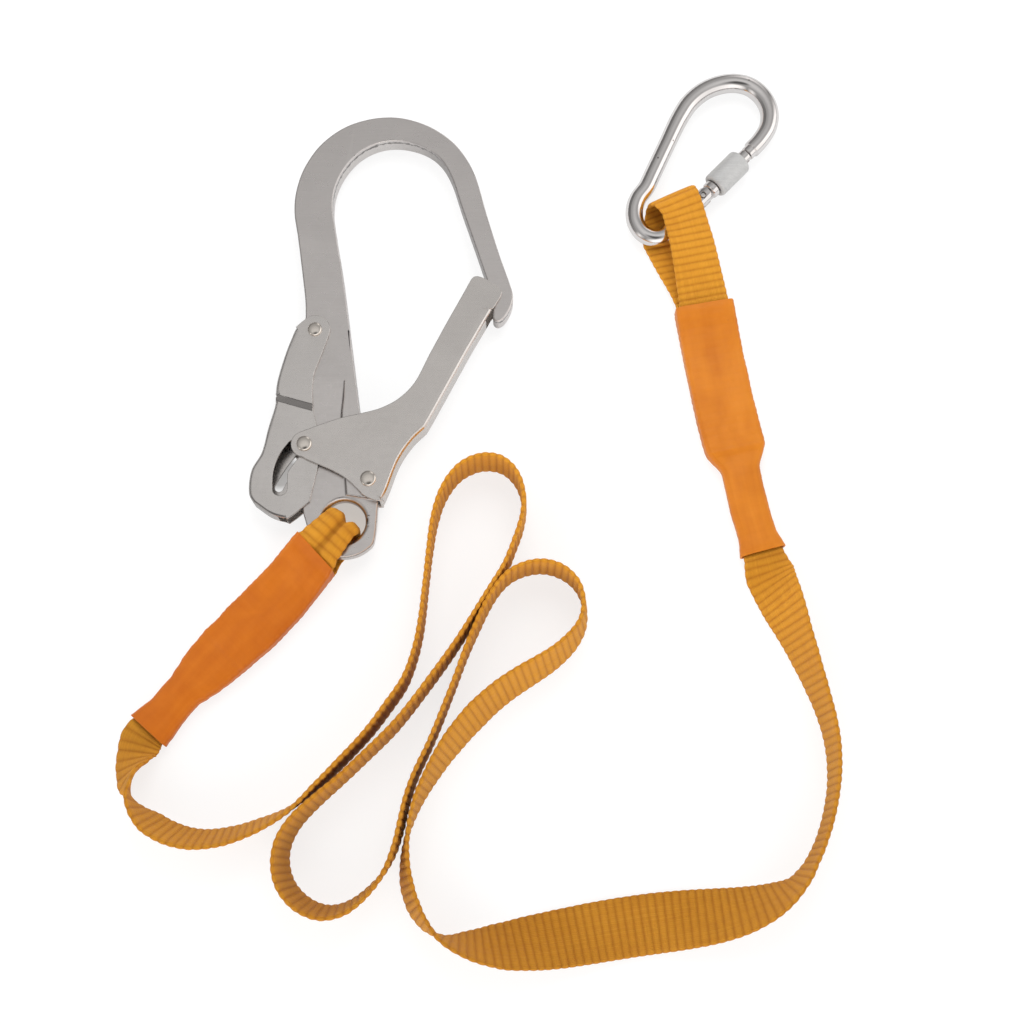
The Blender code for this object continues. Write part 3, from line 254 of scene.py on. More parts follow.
def new_mesh(name, verts, faces):
    mesh = bpy.data.meshes.new(name)
    mesh.from_pydata([metres(vert) for vert in verts], [], faces)
    return mesh


def face_outward(mesh, recalc=True):
    edit = bmesh.new()
    edit.from_mesh(mesh)
    if recalc:
        bmesh.ops.recalc_face_normals(edit, faces=edit.faces[:])
    if edit.calc_volume(signed=True) < 0:
        bmesh.ops.reverse_faces(edit, faces=edit.faces[:])
    edit.to_mesh(mesh)
    edit.free()


def solid(name, verts, faces):
    mesh = new_mesh(name, verts, faces)
    mesh.validate()
    face_outward(mesh)
    return mesh


def split(edit, point, normal, dist):
    geometry = edit.verts[:] + edit.edges[:] + edit.faces[:]
    return bmesh.ops.bisect_plane(
        edit, geom=geometry, dist=dist, plane_co=point, plane_no=(*normal, 0)
    )


def fold_rim(mesh, fold, radius):
    """Rounds the rim edges that fold(x, y) picks."""
    edit = bmesh.new()
    edit.from_mesh(mesh)
    edges = []
    for edge in edit.edges:
        start, end = (vert.co for vert in edge.verts)
        middle = (start + end) / 2
        level = abs(start.z - end.z) < 1e-4
        x, y = middle.x / MM + MIDDLE_X, middle.y / MM + MIDDLE_Y
        if abs(edge.calc_face_angle(0.0)) > 1.0 and level and fold(x, y):
            edges.append(edge)
    bmesh.ops.bevel(
        edit, geom=edges, offset=radius * MM, offset_type="OFFSET", segments=6, profile=0.5,
        affect="EDGES", clamp_overlap=False,
    )
    edit.to_mesh(mesh)
    edit.free()


def slab(name, loop, top, bottom, cuts=(), fold=None, fold_r=0.0):
    """A closed solid over the outline.

    top and bottom are heights or functions of x, y. cuts are (point, normal) lines where the
    slab bends. fold(x, y) picks the rim that is bent round, not sheared.
    """
    edit = bmesh.new()
    edit.faces.new([edit.verts.new((x, y, 0)) for x, y in loop])
    for point, normal in cuts:
        split(edit, (*point, 0), normal, 1e-4)
    edit.verts.index_update()
    flat = [tuple(vert.co[:2]) for vert in edit.verts]
    lids = [[vert.index for vert in face.verts] for face in edit.faces]
    rim = [[vert.index for vert in edge.verts] for edge in edit.edges if len(edge.link_faces) == 1]
    edit.free()
    count = len(flat)
    verts = []
    for height in (top, bottom):
        verts += [(x, y, height(x, y) if callable(height) else height) for x, y in flat]
    faces = lids + [[i + count for i in lid] for lid in lids]
    faces += [[i, j, j + count, i + count] for i, j in rim]
    mesh = solid(name, verts, faces)
    if fold:
        fold_rim(mesh, fold, fold_r)
    return add(name, mesh)


def ring_faces(rings, count, closed_path=False):
    """Faces of a skin over rings of count points, with end caps unless the path closes."""
    faces = []
    for i in range(rings if closed_path else rings - 1):
        here, there = i * count, (i + 1) % rings * count
        for k in range(count):
            j = (k + 1) % count
            faces.append([here + k, here + j, there + j, there + k])
    if not closed_path:
        faces.append(list(range(count))[::-1])
        faces.append([(rings - 1) * count + k for k in range(count)])
    return faces


def loft(name, rings, closed_path=False):
    verts = [tuple(point) for ring in rings for point in ring]
    return add(name, solid(name, verts, ring_faces(len(rings), len(rings[0]), closed_path)))


def turned(name, profile, base, axis, count=64, closed_path=False):
    """A turned solid; profile rows are (distance along the axis, radius)."""
    axis = Vector(axis).normalized()
    helper = Vector((0, 0, 1)) if abs(axis.z) < 0.9 else Vector((1, 0, 0))
    first = axis.cross(helper).normalized()
    second = axis.cross(first)
    base = Vector(base)
    angles = [2 * math.pi * k / count for k in range(count)]
    rings = []
    for reach, radius in profile:
        rings.append([
            tuple(
                base + axis * reach
                + (first * math.cos(angle) + second * math.sin(angle)) * max(radius, 0.02)
            )
            for angle in angles
        ])
    return loft(name, rings, closed_path)


def rod_between(name, start, end, radius):
    start, end = Vector(start), Vector(end)
    profile = [(0, radius), ((end - start).length, radius)]
    return turned(name, profile, start, end - start, 48)


def hole(name, at, radius, bottom=-2, top=19):
    """An upright cutter with play round a pin of that radius."""
    return rod_between(name, (*at, bottom), (*at, top), radius + PLAY)


def evaluated_mesh(piece, **options):
    bpy.context.view_layer.update()
    graph = bpy.context.evaluated_depsgraph_get()
    return bpy.data.meshes.new_from_object(piece.evaluated_get(graph), **options)


def carve(target, cuts, joins=()):
    """Joins, then cuts, worked out once on real geometry; the tools are then removed."""
    for kind, tools in (("UNION", joins), ("DIFFERENCE", cuts)):
        for tool in tools:
            boolean = target.modifiers.new(tool.name, "BOOLEAN")
            boolean.operation = kind
            boolean.solver = "EXACT"
            boolean.object = tool
    mesh = evaluated_mesh(target)
    target.modifiers.clear()
    target.data = mesh
    for tool in [*cuts, *joins]:
        bpy.data.objects.remove(tool, do_unlink=True)


def add_bevel(piece, name, width, segments, degrees):
    bevel = piece.modifiers.new(name, "BEVEL")
    bevel.width = width * MM
    bevel.segments = segments
    bevel.limit_method = "ANGLE"
    bevel.angle_limit = math.radians(degrees)
    return bevel


def soften(piece, width=0.0, segments=3, degrees=32.0, seams=None):
    """Rounds the edges of a metal piece and gives it clean shading.

    With seams, rows of x, y and a normal, flat faces are merged, but parted along those lines.
    """
    edit = bmesh.new()
    edit.from_mesh(piece.data)
    bmesh.ops.remove_doubles(edit, verts=edit.verts[:], dist=4e-6)
    bmesh.ops.dissolve_degenerate(edit, edges=edit.edges[:], dist=2e-5)
    if seams:
        # parted through every hole, so that no flat face runs all the way round one
        for x, y, *normal in seams:
            parted = split(edit, metres((x, y, 0)), normal, 1e-7)
            for part in parted["geom_cut"]:
                if isinstance(part, bmesh.types.BMEdge):
                    part.seam = True
        bmesh.ops.dissolve_limit(
            edit, angle_limit=math.radians(0.5), use_dissolve_boundaries=False,
            verts=edit.verts[:], edges=edit.edges[:], delimit={"SEAM"},
        )
    else:
        wide = [face for face in edit.faces if len(face.verts) > 8]
        bmesh.ops.triangulate(edit, faces=wide, quad_method="BEAUTY", ngon_method="BEAUTY")
    edit.to_mesh(piece.data)
    surface = BVHTree.FromBMesh(edit)
    edit.free()
    if width:
        bevel = add_bevel(piece, "edges", width, segments, degrees)
        bevel.use_clamp_overlap = False
        bevel.miter_outer = "MITER_SHARP"
        graph = bpy.context.evaluated_depsgraph_get()
        mesh = evaluated_mesh(piece, preserve_all_data_layers=True, depsgraph=graph)
        piece.modifiers.remove(bevel)
        piece.data = mesh
        # any corner the rounding throws clear of the piece is put back on it
        for vert in mesh.vertices:
            near = surface.find_nearest(vert.co)
            if near[0] is not None and near[3] > 1.1 * width * MM:
                vert.co = near[0]
    piece.data.shade_smooth()
    shading = piece.modifiers.new("shading", "WEIGHTED_NORMAL")
    shading.mode = "FACE_AREA_WITH_ANGLE"
    shading.weight = 60
    shading.keep_sharp = True


def paint(piece, look):
    piece.data.materials.clear()
    piece.data.materials.append(look)
    for polygon in piece.data.polygons:
        polygon.material_index = 0


def place(piece, look, body, node):
    """Paints a piece, tells the frame what carries it, and hides the CAD piece it stands for."""
    paint(piece, look)
    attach(piece, body)
    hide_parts(node)


# ================================================================ node trees
class Value:
    """A shader socket; arithmetic on it adds Math nodes."""

    def __init__(self, graph, socket):
        self.graph = graph
        self.socket = socket

    def __add__(self, other):
        return self.graph.math("ADD", self, other)

    def __sub__(self, other):
        return self.graph.math("SUBTRACT", self, other)

    def __rsub__(self, other):
        return self.graph.math("SUBTRACT", other, self)

    def __mul__(self, other):
        return self.graph.math("MULTIPLY", self, other)

    def __truediv__(self, other):
        return self.graph.math("DIVIDE", self, other)

    def __abs__(self):
        return self.graph.math("ABSOLUTE", self)

    def at_least(self, other):
        return self.graph.math("MAXIMUM", self, other)

    def arches(self):
        """Round arches from 0 to 1, one per unit."""
        return abs(self.graph.math("SINE", self * math.pi))

    def clamped(self):
        """Holds the Math node's own result between 0 and 1."""
        self.socket.node.use_clamp = True
        return self

    def remap(self, source, target, **settings):
        """Maps the source range onto the target range."""
        inputs = dict(enumerate((self, *source, *target)))
        return self.graph.put("ShaderNodeMapRange", inputs=inputs, **settings)


class Graph:
    """Builds a node tree out of Values."""

    def __init__(self, tree):
        self.tree = tree

    def feed(self, socket, value):
        if isinstance(value, Value):
            self.tree.links.new(value.socket, socket)
        elif isinstance(value, tuple) and len(value) == 3 and socket.type == "RGBA":
            socket.default_value = (*value, 1.0)
        else:
            socket.default_value = value

    def node(self, kind, inputs, **settings):
        node = self.tree.nodes.new(kind)
        for key, value in settings.items():
            setattr(node, key, value)
        for key, value in inputs.items():
            self.feed(node.inputs[key], value)
        return node

    def put(self, kind, output=0, inputs={}, **settings):
        """Adds a node and gives one of its outputs."""
        return Value(self, self.node(kind, inputs, **settings).outputs[output])

    def math(self, operation, first, second=0.0):
        return self.put("ShaderNodeMath", inputs={0: first, 1: second}, operation=operation)

    def xyz(self, vector):
        node = self.node("ShaderNodeSeparateXYZ", {"Vector": vector})
        return [Value(self, socket) for socket in node.outputs]

    def distance(self, vector, point):
        inputs = {0: vector, 1: point}
        return self.put("ShaderNodeVectorMath", "Value", inputs, operation="DISTANCE")

    def ramp(self, factor, stops):
        """A colour ramp; stops are (position, colour)."""
        node = self.node("ShaderNodeValToRGB", {0: factor})
        elements = node.color_ramp.elements
        while len(elements) > 1:
            elements.remove(elements[-1])
        elements[0].position = stops[0][0]
        elements[0].color = (*stops[0][1], 1.0)
        for position, colour in stops[1:]:
            elements.new(position).color = (*colour, 1.0)
        return Value(self, node.outputs[0])

    def mix(self, factor, first, second, blend="MIX"):
        inputs = {0: factor, 6: first, 7: second}
        return self.put("ShaderNodeMix", 2, inputs, data_type="RGBA", blend_type=blend)

    def coords(self, scale=(1, 1, 1), turn=0.0):
        """Coordinates in millimetres, fixed to the piece."""
        inputs = {
            "Vector": self.put("ShaderNodeTexCoord", "Object"),
            "Scale": tuple(1000.0 * share for share in scale),
            "Rotation": (0, 0, turn),
        }
        return self.put("ShaderNodeMapping", inputs=inputs)

    def noise(self, vector, scale=1.0, detail=3.0, rough=0.5, distort=0.0):
        inputs = {
            "Vector": vector, "Scale": scale, "Detail": detail, "Roughness": rough,
            "Distortion": distort,
        }
        return self.put("ShaderNodeTexNoise", "Fac", inputs)

    def dots(self, vector, scale):
        """Distance from scattered points."""
        inputs = {"Vector": vector, "Scale": scale, "Randomness": 1.0}
        return self.put("ShaderNodeTexVoronoi", "Distance", inputs)

    def combine(self, x, y):
        return self.put("ShaderNodeCombineXYZ", inputs={"X": x, "Y": y, "Z": 0.0})

    def pointiness(self):
        return self.put("ShaderNodeNewGeometry", "Pointiness")

    def bump(self, height, strength, distance, **normal):
        """Bumps by height; Normal= is a bump that it adds to."""
        inputs = {"Height": height, "Strength": strength, "Distance": distance, **normal}
        return self.put("ShaderNodeBump", "Normal", inputs)


class Material(Graph):
    def __init__(self, name):
        self.material = bpy.data.materials.new(name)
        self.material.use_nodes = True
        super().__init__(self.material.node_tree)

    def finish(self, **surface):
        """Sets the surface, with _ for the spaces in input names, and gives the material."""
        shader = self.tree.nodes["Principled BSDF"]
        for name, value in surface.items():
            self.feed(shader.inputs[name.replace("_", " ")], value)
        return self.material


# ================================================================ materials
def steel_shadow(graph, coords, wall, painted_streak, slope):
    """Painted shade: how dark the steel is painted by the way it faces, with a painted dark streak
    round its walls.
    """
    normal_x, normal_y, normal_z = graph.xyz(graph.put("ShaderNodeTexCoord", "Normal"))
    # painted shade on walls, mostly those that face left
    side = abs(normal_z).remap((0.45, 0.93), (1.0, 0.0))
    lean = (normal_x * -0.80 + (normal_y * 0.25 + 0.34)).clamped()
    jag = graph.noise(graph.coords((0.55, 0.55, 0.9)), detail=4.0, rough=0.65)
    dim = side * lean * jag.remap((0.35, 0.6), (wall, wall * 0.75))
    if painted_streak:
        # a painted dark streak, standing in for a dark reflection: a ragged line round the walls, a
        # little above the middle plane
        height = graph.xyz(coords)[2]
        off = abs(height + (jag - 0.5) * 5.0 - (HOOK_Z + 2.6))
        upright = abs(normal_z).remap((0.2, 0.6), (1.0, 0.0))
        dim = dim.at_least(off.remap((0.35, 1.0), (painted_streak, 0.0)) * upright)
    if slope:
        # painted shade on sloping faces that look to the front
        level = abs(normal_z).remap((0.55, 0.8), (0.0, 1.0))
        dim = dim.at_least(normal_y.remap((-0.32, -0.14), (slope, 0.0)) * level)
    return dim


def steel(
    name, tint, rough, grain=0.5, scratches=0.5, cloud=0.035, brush=0.6, pits=0.0, edge=0.12,
    metal=1.0, wall=0.0, painted_streak=0.0, slope=0.0,
):
    """Plated steel: fine grain, faint clouds, hairline scratches, paler edges, and painted shade by
    the way it faces.

    brush is the turn of the brushing; the other options are strengths. The last three are those of
    painted shade on walls, of a painted dark streak round them, and of painted shade on sloping
    faces.
    """
    graph = Material(name)
    coords = graph.coords()
    fine = graph.noise(coords, scale=2.4, rough=0.65)
    clouds = graph.noise(coords, scale=0.045, rough=0.55, distort=0.4)
    patches = graph.noise(coords, scale=0.35, detail=4.0, rough=0.6)
    brushed = graph.coords((0.06, 1.6, 0.5), brush)
    lines = graph.noise(brushed, detail=4.0, rough=0.6, distort=0.3)
    # hairlines where a stretched noise crosses its middle, only in some patches
    hair = graph.noise(graph.coords((0.05, 0.9, 0.4), 1.9), detail=2.0, distort=1.6)
    hair = (1.0 - abs(hair - 0.5) * 42.0).clamped()
    hair = hair * patches.remap((0.5, 0.62), (0.0, 1.0))
    # brightness
    tone = clouds.remap((0.3, 0.7), (1.0 - cloud, 1.0 + cloud * 0.6))
    tone = tone + fine.remap((0.35, 0.65), (-0.014 * grain, 0.014 * grain))
    tone = tone + lines.remap((0.35, 0.65), (-0.018 * grain, 0.018 * grain))
    tone = tone - hair * (0.05 * scratches)
    tone = tone + graph.pointiness().remap((0.505, 0.56), (0.0, edge))
    grey = graph.put("ShaderNodeCombineColor", inputs={"Red": tone, "Green": tone, "Blue": tone})
    colour = graph.mix(1.0, tint, grey, "MULTIPLY")
    # painted shade on walls and sloping faces, and a painted dark streak, mixed towards near black
    if wall:
        dim = steel_shadow(graph, coords, wall, painted_streak, slope)
        colour = graph.mix(dim, colour, (0.07, 0.060, 0.058))
    if pits:
        mask = graph.dots(coords, scale=0.11).remap((0.03, 0.055), (pits, 0.0))
        colour = graph.mix(mask, colour, (0.10, 0.08, 0.07))
    roughness = patches.remap((0.3, 0.7), (rough * 0.86, rough * 1.14)) + hair * (0.12 * scratches)
    grained = graph.bump(fine * 0.5 + lines * 0.5, strength=0.022 * grain, distance=0.0002)
    normal = graph.bump(clouds, strength=0.03, distance=0.002, Normal=grained)
    return graph.finish(Base_Color=colour, Metallic=metal, Roughness=roughness, Normal=normal)


def webbing_material(name):
    """Ribbed webbing. u counts ribs along the strap, v counts yarns across it."""
    graph = Material(name)
    u, v, _ = graph.xyz(graph.put("ShaderNodeUVMap", uv_map="weave"))
    coords = graph.coords()
    wander = (graph.noise(coords, scale=0.5, detail=2.0) - 0.5) * 0.25
    rib = u.arches()
    groove = rib.remap((0.02, 0.85), (1.0, 0.0))
    # each yarn sways from rib to rib; its strands cross it at a slant
    sway = graph.math("PINGPONG", u, 1.0) * 0.22
    yarn = (v * 1.0 + (sway + wander)).arches()
    between = yarn.remap((0.05, 0.55), (1.0, 0.0))
    strand = (v * 3.0 + u * 1.7).arches()
    fuzz = graph.noise(coords, scale=6.0, detail=4.0, rough=0.7)
    broad = graph.noise(coords, scale=0.028, rough=0.55)
    patches = graph.noise(coords, scale=0.30, rough=0.6)
    per_yarn = graph.noise(graph.combine(u * 0.12, v * 0.9), detail=2.0, rough=0.6)
    # dark, middle and pale yarn
    base = graph.ramp(broad * 0.5 + per_yarn * 0.5, [
        (0.30, (0.500, 0.205, 0.015)),
        (0.50, (0.560, 0.242, 0.019)),
        (0.70, (0.625, 0.288, 0.027)),
    ])
    # painted shade in the grooves between ribs and between yarns
    base = graph.mix(groove * 0.50, base, (0.27, 0.076, 0.005))
    base = graph.mix(between * 0.26, base, (0.38, 0.120, 0.008))
    base = graph.mix(patches.remap((0.45, 0.75), (0.0, 0.20)), base, (0.69, 0.34, 0.040))
    # painted light falloff: brighter from the front to the back of the layout
    painted_falloff = graph.ramp(graph.xyz(coords)[1].remap((-210.0, 150.0), (0.0, 1.0)), [
        (0.0, (0.80, 0.76, 0.70)),
        (0.22, (0.92, 0.90, 0.86)),
        (0.50, (1.08, 1.06, 1.0)),
        (1.0, (1.16, 1.16, 1.14)),
    ])
    base = graph.mix(1.0, base, painted_falloff, "MULTIPLY")
    base = graph.mix(fuzz.remap((0.62, 0.78), (0.0, 0.30)), base, (0.80, 0.44, 0.07))
    # painted shade in the crease of the hook's loop, read from the shade attribute
    crease = graph.put("ShaderNodeAttribute", "Fac", attribute_name="shade")
    base = graph.mix(crease, base, (0.20, 0.045, 0.003))
    height = yarn * rib.remap((0.0, 0.6), (0.25, 0.8)) + strand * 0.22 + fuzz * 0.35
    return graph.finish(
        Base_Color=base,
        Roughness=patches.remap((0.3, 0.7), (0.62, 0.82)),
        Normal=graph.bump(height, strength=0.85, distance=0.00022),
        Sheen_Weight=0.08,
        Sheen_Roughness=0.45,
        Sheen_Tint=(1.0, 0.72, 0.35),
        Specular_IOR_Level=0.20,
    )


def thread_material(name):
    """Wavy stitches with pale fuzz."""
    graph = Material(name)
    coords = graph.coords(turn=0.7)
    inputs = {"Vector": coords, "Scale": 0.9, "Distortion": 1.5, "Detail": 2.0}
    wave = graph.put("ShaderNodeTexWave", "Fac", inputs)
    fuzz = graph.noise(coords, scale=4.0, detail=4.0)
    base = graph.mix(wave, (0.42, 0.15, 0.02), (0.70, 0.33, 0.06))
    base = graph.mix(fuzz.remap((0.4, 0.7), (0.0, 0.4)), base, (0.80, 0.44, 0.10))
    normal = graph.bump(wave + fuzz, strength=0.5, distance=0.0003)
    return graph.finish(Base_Color=base, Roughness=0.75, Normal=normal)


def scaled(colour, factor):
    return tuple(min(1.0, channel * factor) for channel in colour)


def shrink_material(name, dark, middle, pale):
    """Shrunk plastic tube: waxy, with faint clouds and the ribs below showing a little, in bumps and
    in faint painted shade.

    u runs along the tube in ribs, v round it.
    """
    graph = Material(name)
    u, v, _ = graph.xyz(graph.put("ShaderNodeUVMap", uv_map="tube"))
    coords = graph.coords()
    clouds = graph.noise(coords, scale=0.05, detail=4.0, rough=0.55, distort=0.5)
    patches = graph.noise(coords, scale=0.28, detail=4.0, rough=0.6)
    fine = graph.noise(coords, scale=3.2, rough=0.6)
    rib = u.arches()
    streak = graph.noise(graph.combine(u * 0.04, v * 11.0), detail=2.0)
    blend = clouds * 0.62 + streak * 0.38
    base = graph.ramp(blend, [(0.32, dark), (0.50, middle), (0.68, pale)])
    # faint painted shade in the grooves over the ribs below
    base = graph.mix(rib.remap((0.0, 0.7), (0.03, 0.0)), base, scaled(dark, 0.6))
    base = graph.mix(fine.remap((0.66, 0.8), (0.0, 0.16)), base, scaled(pale, 1.25))
    pits = graph.dots(coords, scale=0.075).remap((0.02, 0.035), (0.35, 0.0))
    base = graph.mix(pits, base, (0.30, 0.09, 0.02))
    edges = graph.pointiness().remap((0.51, 0.57), (0.0, 0.25))
    base = graph.mix(edges, base, scaled(pale, 1.2))
    ribbed = graph.bump(rib * 0.12 + patches * 0.9, strength=0.16, distance=0.0008)
    return graph.finish(
        Base_Color=base,
        Roughness=patches.remap((0.3, 0.7), (0.36, 0.50)),
        Normal=graph.bump(fine, strength=0.12, distance=0.0002, Normal=ribbed),
        Subsurface_Weight=0.03,
        Subsurface_Radius=(1.0, 0.35, 0.1),
        Subsurface_Scale=0.0006,
        Specular_IOR_Level=0.30,
    )


# the hook, gate and lever steels carry painted shade on walls and slopes; the hook's steel also
# carries a painted dark streak
PLATE = steel(
    "hook_plate_steel", tint=(0.80, 0.765, 0.745), rough=0.30, grain=0.9, scratches=0.4,
    brush=0.35, edge=0.04, wall=0.75, painted_streak=0.75,
)
GATE = steel(
    "gate_sheet_steel", tint=(0.80, 0.765, 0.735), rough=0.27, grain=0.8, scratches=0.3,
    brush=1.1, edge=0.03, wall=0.6,
)
LEVER = steel(
    "lever_sheet_steel", tint=(0.80, 0.770, 0.745), rough=0.26, grain=0.8, scratches=0.3,
    brush=0.1, edge=0.03, wall=0.97, slope=0.72,
)
RIVET = steel(
    "rivet_steel", tint=(0.90, 0.84, 0.77), rough=0.16, grain=0.4, scratches=0.4, edge=0.05
)
ROD = steel(
    "carabiner_rod_steel", tint=(0.90, 0.875, 0.865), rough=0.12, grain=0.25, scratches=0.6,
    brush=0.8, pits=0.9, edge=0.0,
)
SLEEVE = steel(
    "screw_sleeve_steel", tint=(0.54, 0.54, 0.535), rough=0.55, grain=3.4, scratches=0.2,
    cloud=0.09, edge=0.05, metal=0.55,
)
PIN = steel("pin_steel", tint=(0.80, 0.78, 0.76), rough=0.2, grain=0.4)
SPRING = steel("spring_steel", tint=(0.62, 0.61, 0.60), rough=0.25, grain=0.4)
WEB = webbing_material("ribbed_webbing")
THREAD = thread_material("stitch_thread")
HOOK_TUBE = shrink_material(
    "hook_tube_plastic",
    dark=(0.450, 0.104, 0.003), middle=(0.510, 0.130, 0.005), pale=(0.575, 0.160, 0.009),
)
CAR_TUBE = shrink_material(
    "carabiner_tube_plastic",
    dark=(0.490, 0.139, 0.007), middle=(0.560, 0.173, 0.010), pale=(0.620, 0.205, 0.015),
)


# ================================================================ scaffold hook
# In the outlines below, a third entry marks a corner.
# Outer side, from the nose up the right arm, over the bow and down the left arm
BODY_OUTER = [
    (-8.7, 88.3, 1), (-6.9, 86.6), (-4.1, 87.9), (-0.9, 93.0), (0.5, 99.0), (-0.9, 105.0),
    (-5.5, 118.9), (-11.6, 139.6), (-17.3, 160.2), (-21.6, 169.0), (-28.3, 177.7),
    (-38.8, 185.3), (-50.0, 189.4), (-58.3, 190.3), (-67.6, 189.2), (-79.0, 185.0),
    (-90.0, 176.0), (-97.6, 163.6), (-101.0, 151.0), (-101.3, 141.0), (-99.3, 129.0),
    (-97.2, 114.4), (-94.8, 97.1), (-94.4, 89.5, 1), (-95.0, 82.0), (-94.6, 72.0),
    (-92.4, 56.0, 1), (-90.2, 40.0, 1),
]
# From the right side of the lug up the inner edge of the shank and of the bow to the nose
BODY_INNER = [
    (-59.4, 1.8, 1), (-56.6, 8.0, 1), (-57.6, 18.0), (-62.0, 32.0), (-68.4, 43.0, 1),
    (-72.7, 72.7), (-76.1, 97.1), (-78.8, 114.4), (-81.6, 129.5), (-83.6, 143.7),
    (-82.6, 153.6), (-78.4, 163.6), (-71.3, 172.0), (-62.6, 176.7), (-54.2, 177.8),
    (-45.7, 176.3), (-38.4, 172.9), (-32.9, 167.6), (-28.4, 159.2), (-23.3, 143.1),
    (-17.1, 124.4), (-11.5, 107.0), (-8.6, 98.5, 1), (-6.6, 97.0, 1), (-7.7, 94.6), (-8.5, 91.5),
]
PRESSED_AREA = [
    (-120, 63.0, 1), (-120, -40, 1), (-40, -40, 1), (-40, 1.6, 1), (-59.0, 2.2, 1), (-66.0, 3.4),
    (-73.5, 4.6, 1), (-74.0, 11.0, 1), (-76.6, 40.0), (-75.9, 51.0), (-75.2, 63.0, 1),
]
GATE_NOSE = [
    (-18.9, 106.4, 1), (-17.6, 107.9), (-15.6, 108.2), (-12.8, 107.2), (-9.4, 105.2),
    (-5.6, 102.2, 1), (-4.6, 100.6), (-5.0, 98.6),
]
# The gate's folded right edge, from the nose down to the pivot
GATE_SPINE = [
    (-8.7, 92.2, 1), (-19.0, 73.4), (-27.9, 56.0), (-35.8, 40.6, 1), (-38.6, 35.5, 1),
    (-44.4, 29.6), (-50.2, 20.5), (-55.2, 6.8), (-57.4, 1.4, 1),
]
GATE_FOOT = [
    (-60.5, 1.5), (-65.2, 3.6), (-69.0, 7.4), (-73.5, 11.6), (-79.4, 15.1), (-86.1, 18.1),
    (-91.6, 20.6, 1),
]
GATE_LEFT = [
    (-94.2, 33.4, 1), (-86.0, 36.6), (-77.2, 39.7), (-66.9, 42.2), (-58.7, 44.6), (-50.7, 49.2),
    (-44.1, 56.3), (-37.1, 70.6), (-28.6, 87.6), (-24.2, 96.0),
]
GATE_HOLLOW = [
    (-58.9, -6.0), (-58.6, 2.6), (-57.0, 6.8), (-51.9, 20.9), (-45.7, 30.6), (-40.0, 36.6),
    (-37.2, 41.6), (-29.2, 57.0), (-20.3, 74.4), (-13.5, 87.6), (4.0, 80.0), (14.0, 120.0),
    (-60.0, 130.0), (-120.0, 60.0), (-120.0, -6.0),
]
# The lever's right edge and foot, from the pivot down
LEVER_RIGHT = [
    (-86.3, 70.4), (-89.6, 60.0), (-89.9, 52.0), (-89.4, 43.6, 1), (-87.9, 37.9), (-86.4, 28.0),
    (-86.2, 18.2, 1), (-89.6, 1.4, 1), (-96.2, -4.4), (-99.2, -6.6, 1), (-106.5, -4.4),
]
# The lever's folded left edge, from the foot up
LEVER_SPINE = [
    (-114.3, 0.9, 1), (-116.5, 4.8), (-116.1, 15.9), (-111.9, 24.2), (-109.3, 36.0),
    (-106.5, 47.5), (-106.2, 56.0), (-102.6, 71.4), (-98.4, 83.6, 1),
]
LEVER_HOLLOW = [
    (-96.4, 100.0), (-97.0, 82.6), (-101.1, 71.2), (-104.7, 56.0), (-105.0, 47.6),
    (-107.8, 36.2), (-110.4, 24.6), (-114.5, 16.3), (-114.9, 5.6), (-113.0, 2.0),
    (-106.0, -2.9), (-103.6, -3.6), (-102.4, -12.0), (-60.0, -12.0), (-60.0, 100.0),
]
CAM_WINDOW = [(-97.3, 26.6), (-100.6, 22.0), (-102.9, 15.4), (-103.0, 7.4)]


def body_outline():
    lug = arc(EYE, LUG_R, 196, 322, 12)
    # this part of the left edge keeps clear of the swinging cam pin
    swing_r = math.dist(GATE_PIVOT, CAM_PIN) - CAM_R - 2 * PLAY
    side = arc(GATE_PIVOT, swing_r, 149, 183, 4)
    points = BODY_OUTER + [(*side[0], 1)] + side[1:] + [(-92.4, -3.6, 1)]
    points += [(*lug[0], 1)] + lug[1:] + BODY_INNER
    return outline(points, step=FINE)


def step_across(point, normal, half, low, high, parts=0):
    """A step of height across a line: gives the cuts it needs and the height function.

    It is rounded in that many parts; with none it is an even slope.
    """
    if parts:
        marks = [-half + 2 * half * i / parts for i in range(parts + 1)]
    else:
        marks = [-half, -half * 0.72, half * 0.72, half]
    ease = smooth if parts else float
    values = [low + (high - low) * ease((mark + half) / (2 * half)) for mark in marks]
    cuts = []
    for mark in marks:
        cuts.append(((point[0] + normal[0] * mark, point[1] + normal[1] * mark), normal))

    def height(x, y):
        reach = (x - point[0]) * normal[0] + (y - point[1]) * normal[1]
        return float(np.interp(reach, marks, values))

    return cuts, height


def plate(name, loop, half, **options):
    """A slab as thick above the hook's middle plane as below it; half(x, y) is that thickness."""
    top = lambda x, y: HOOK_Z + half(x, y)
    bottom = lambda x, y: HOOK_Z - half(x, y)
    return slab(name, loop, top, bottom, **options)


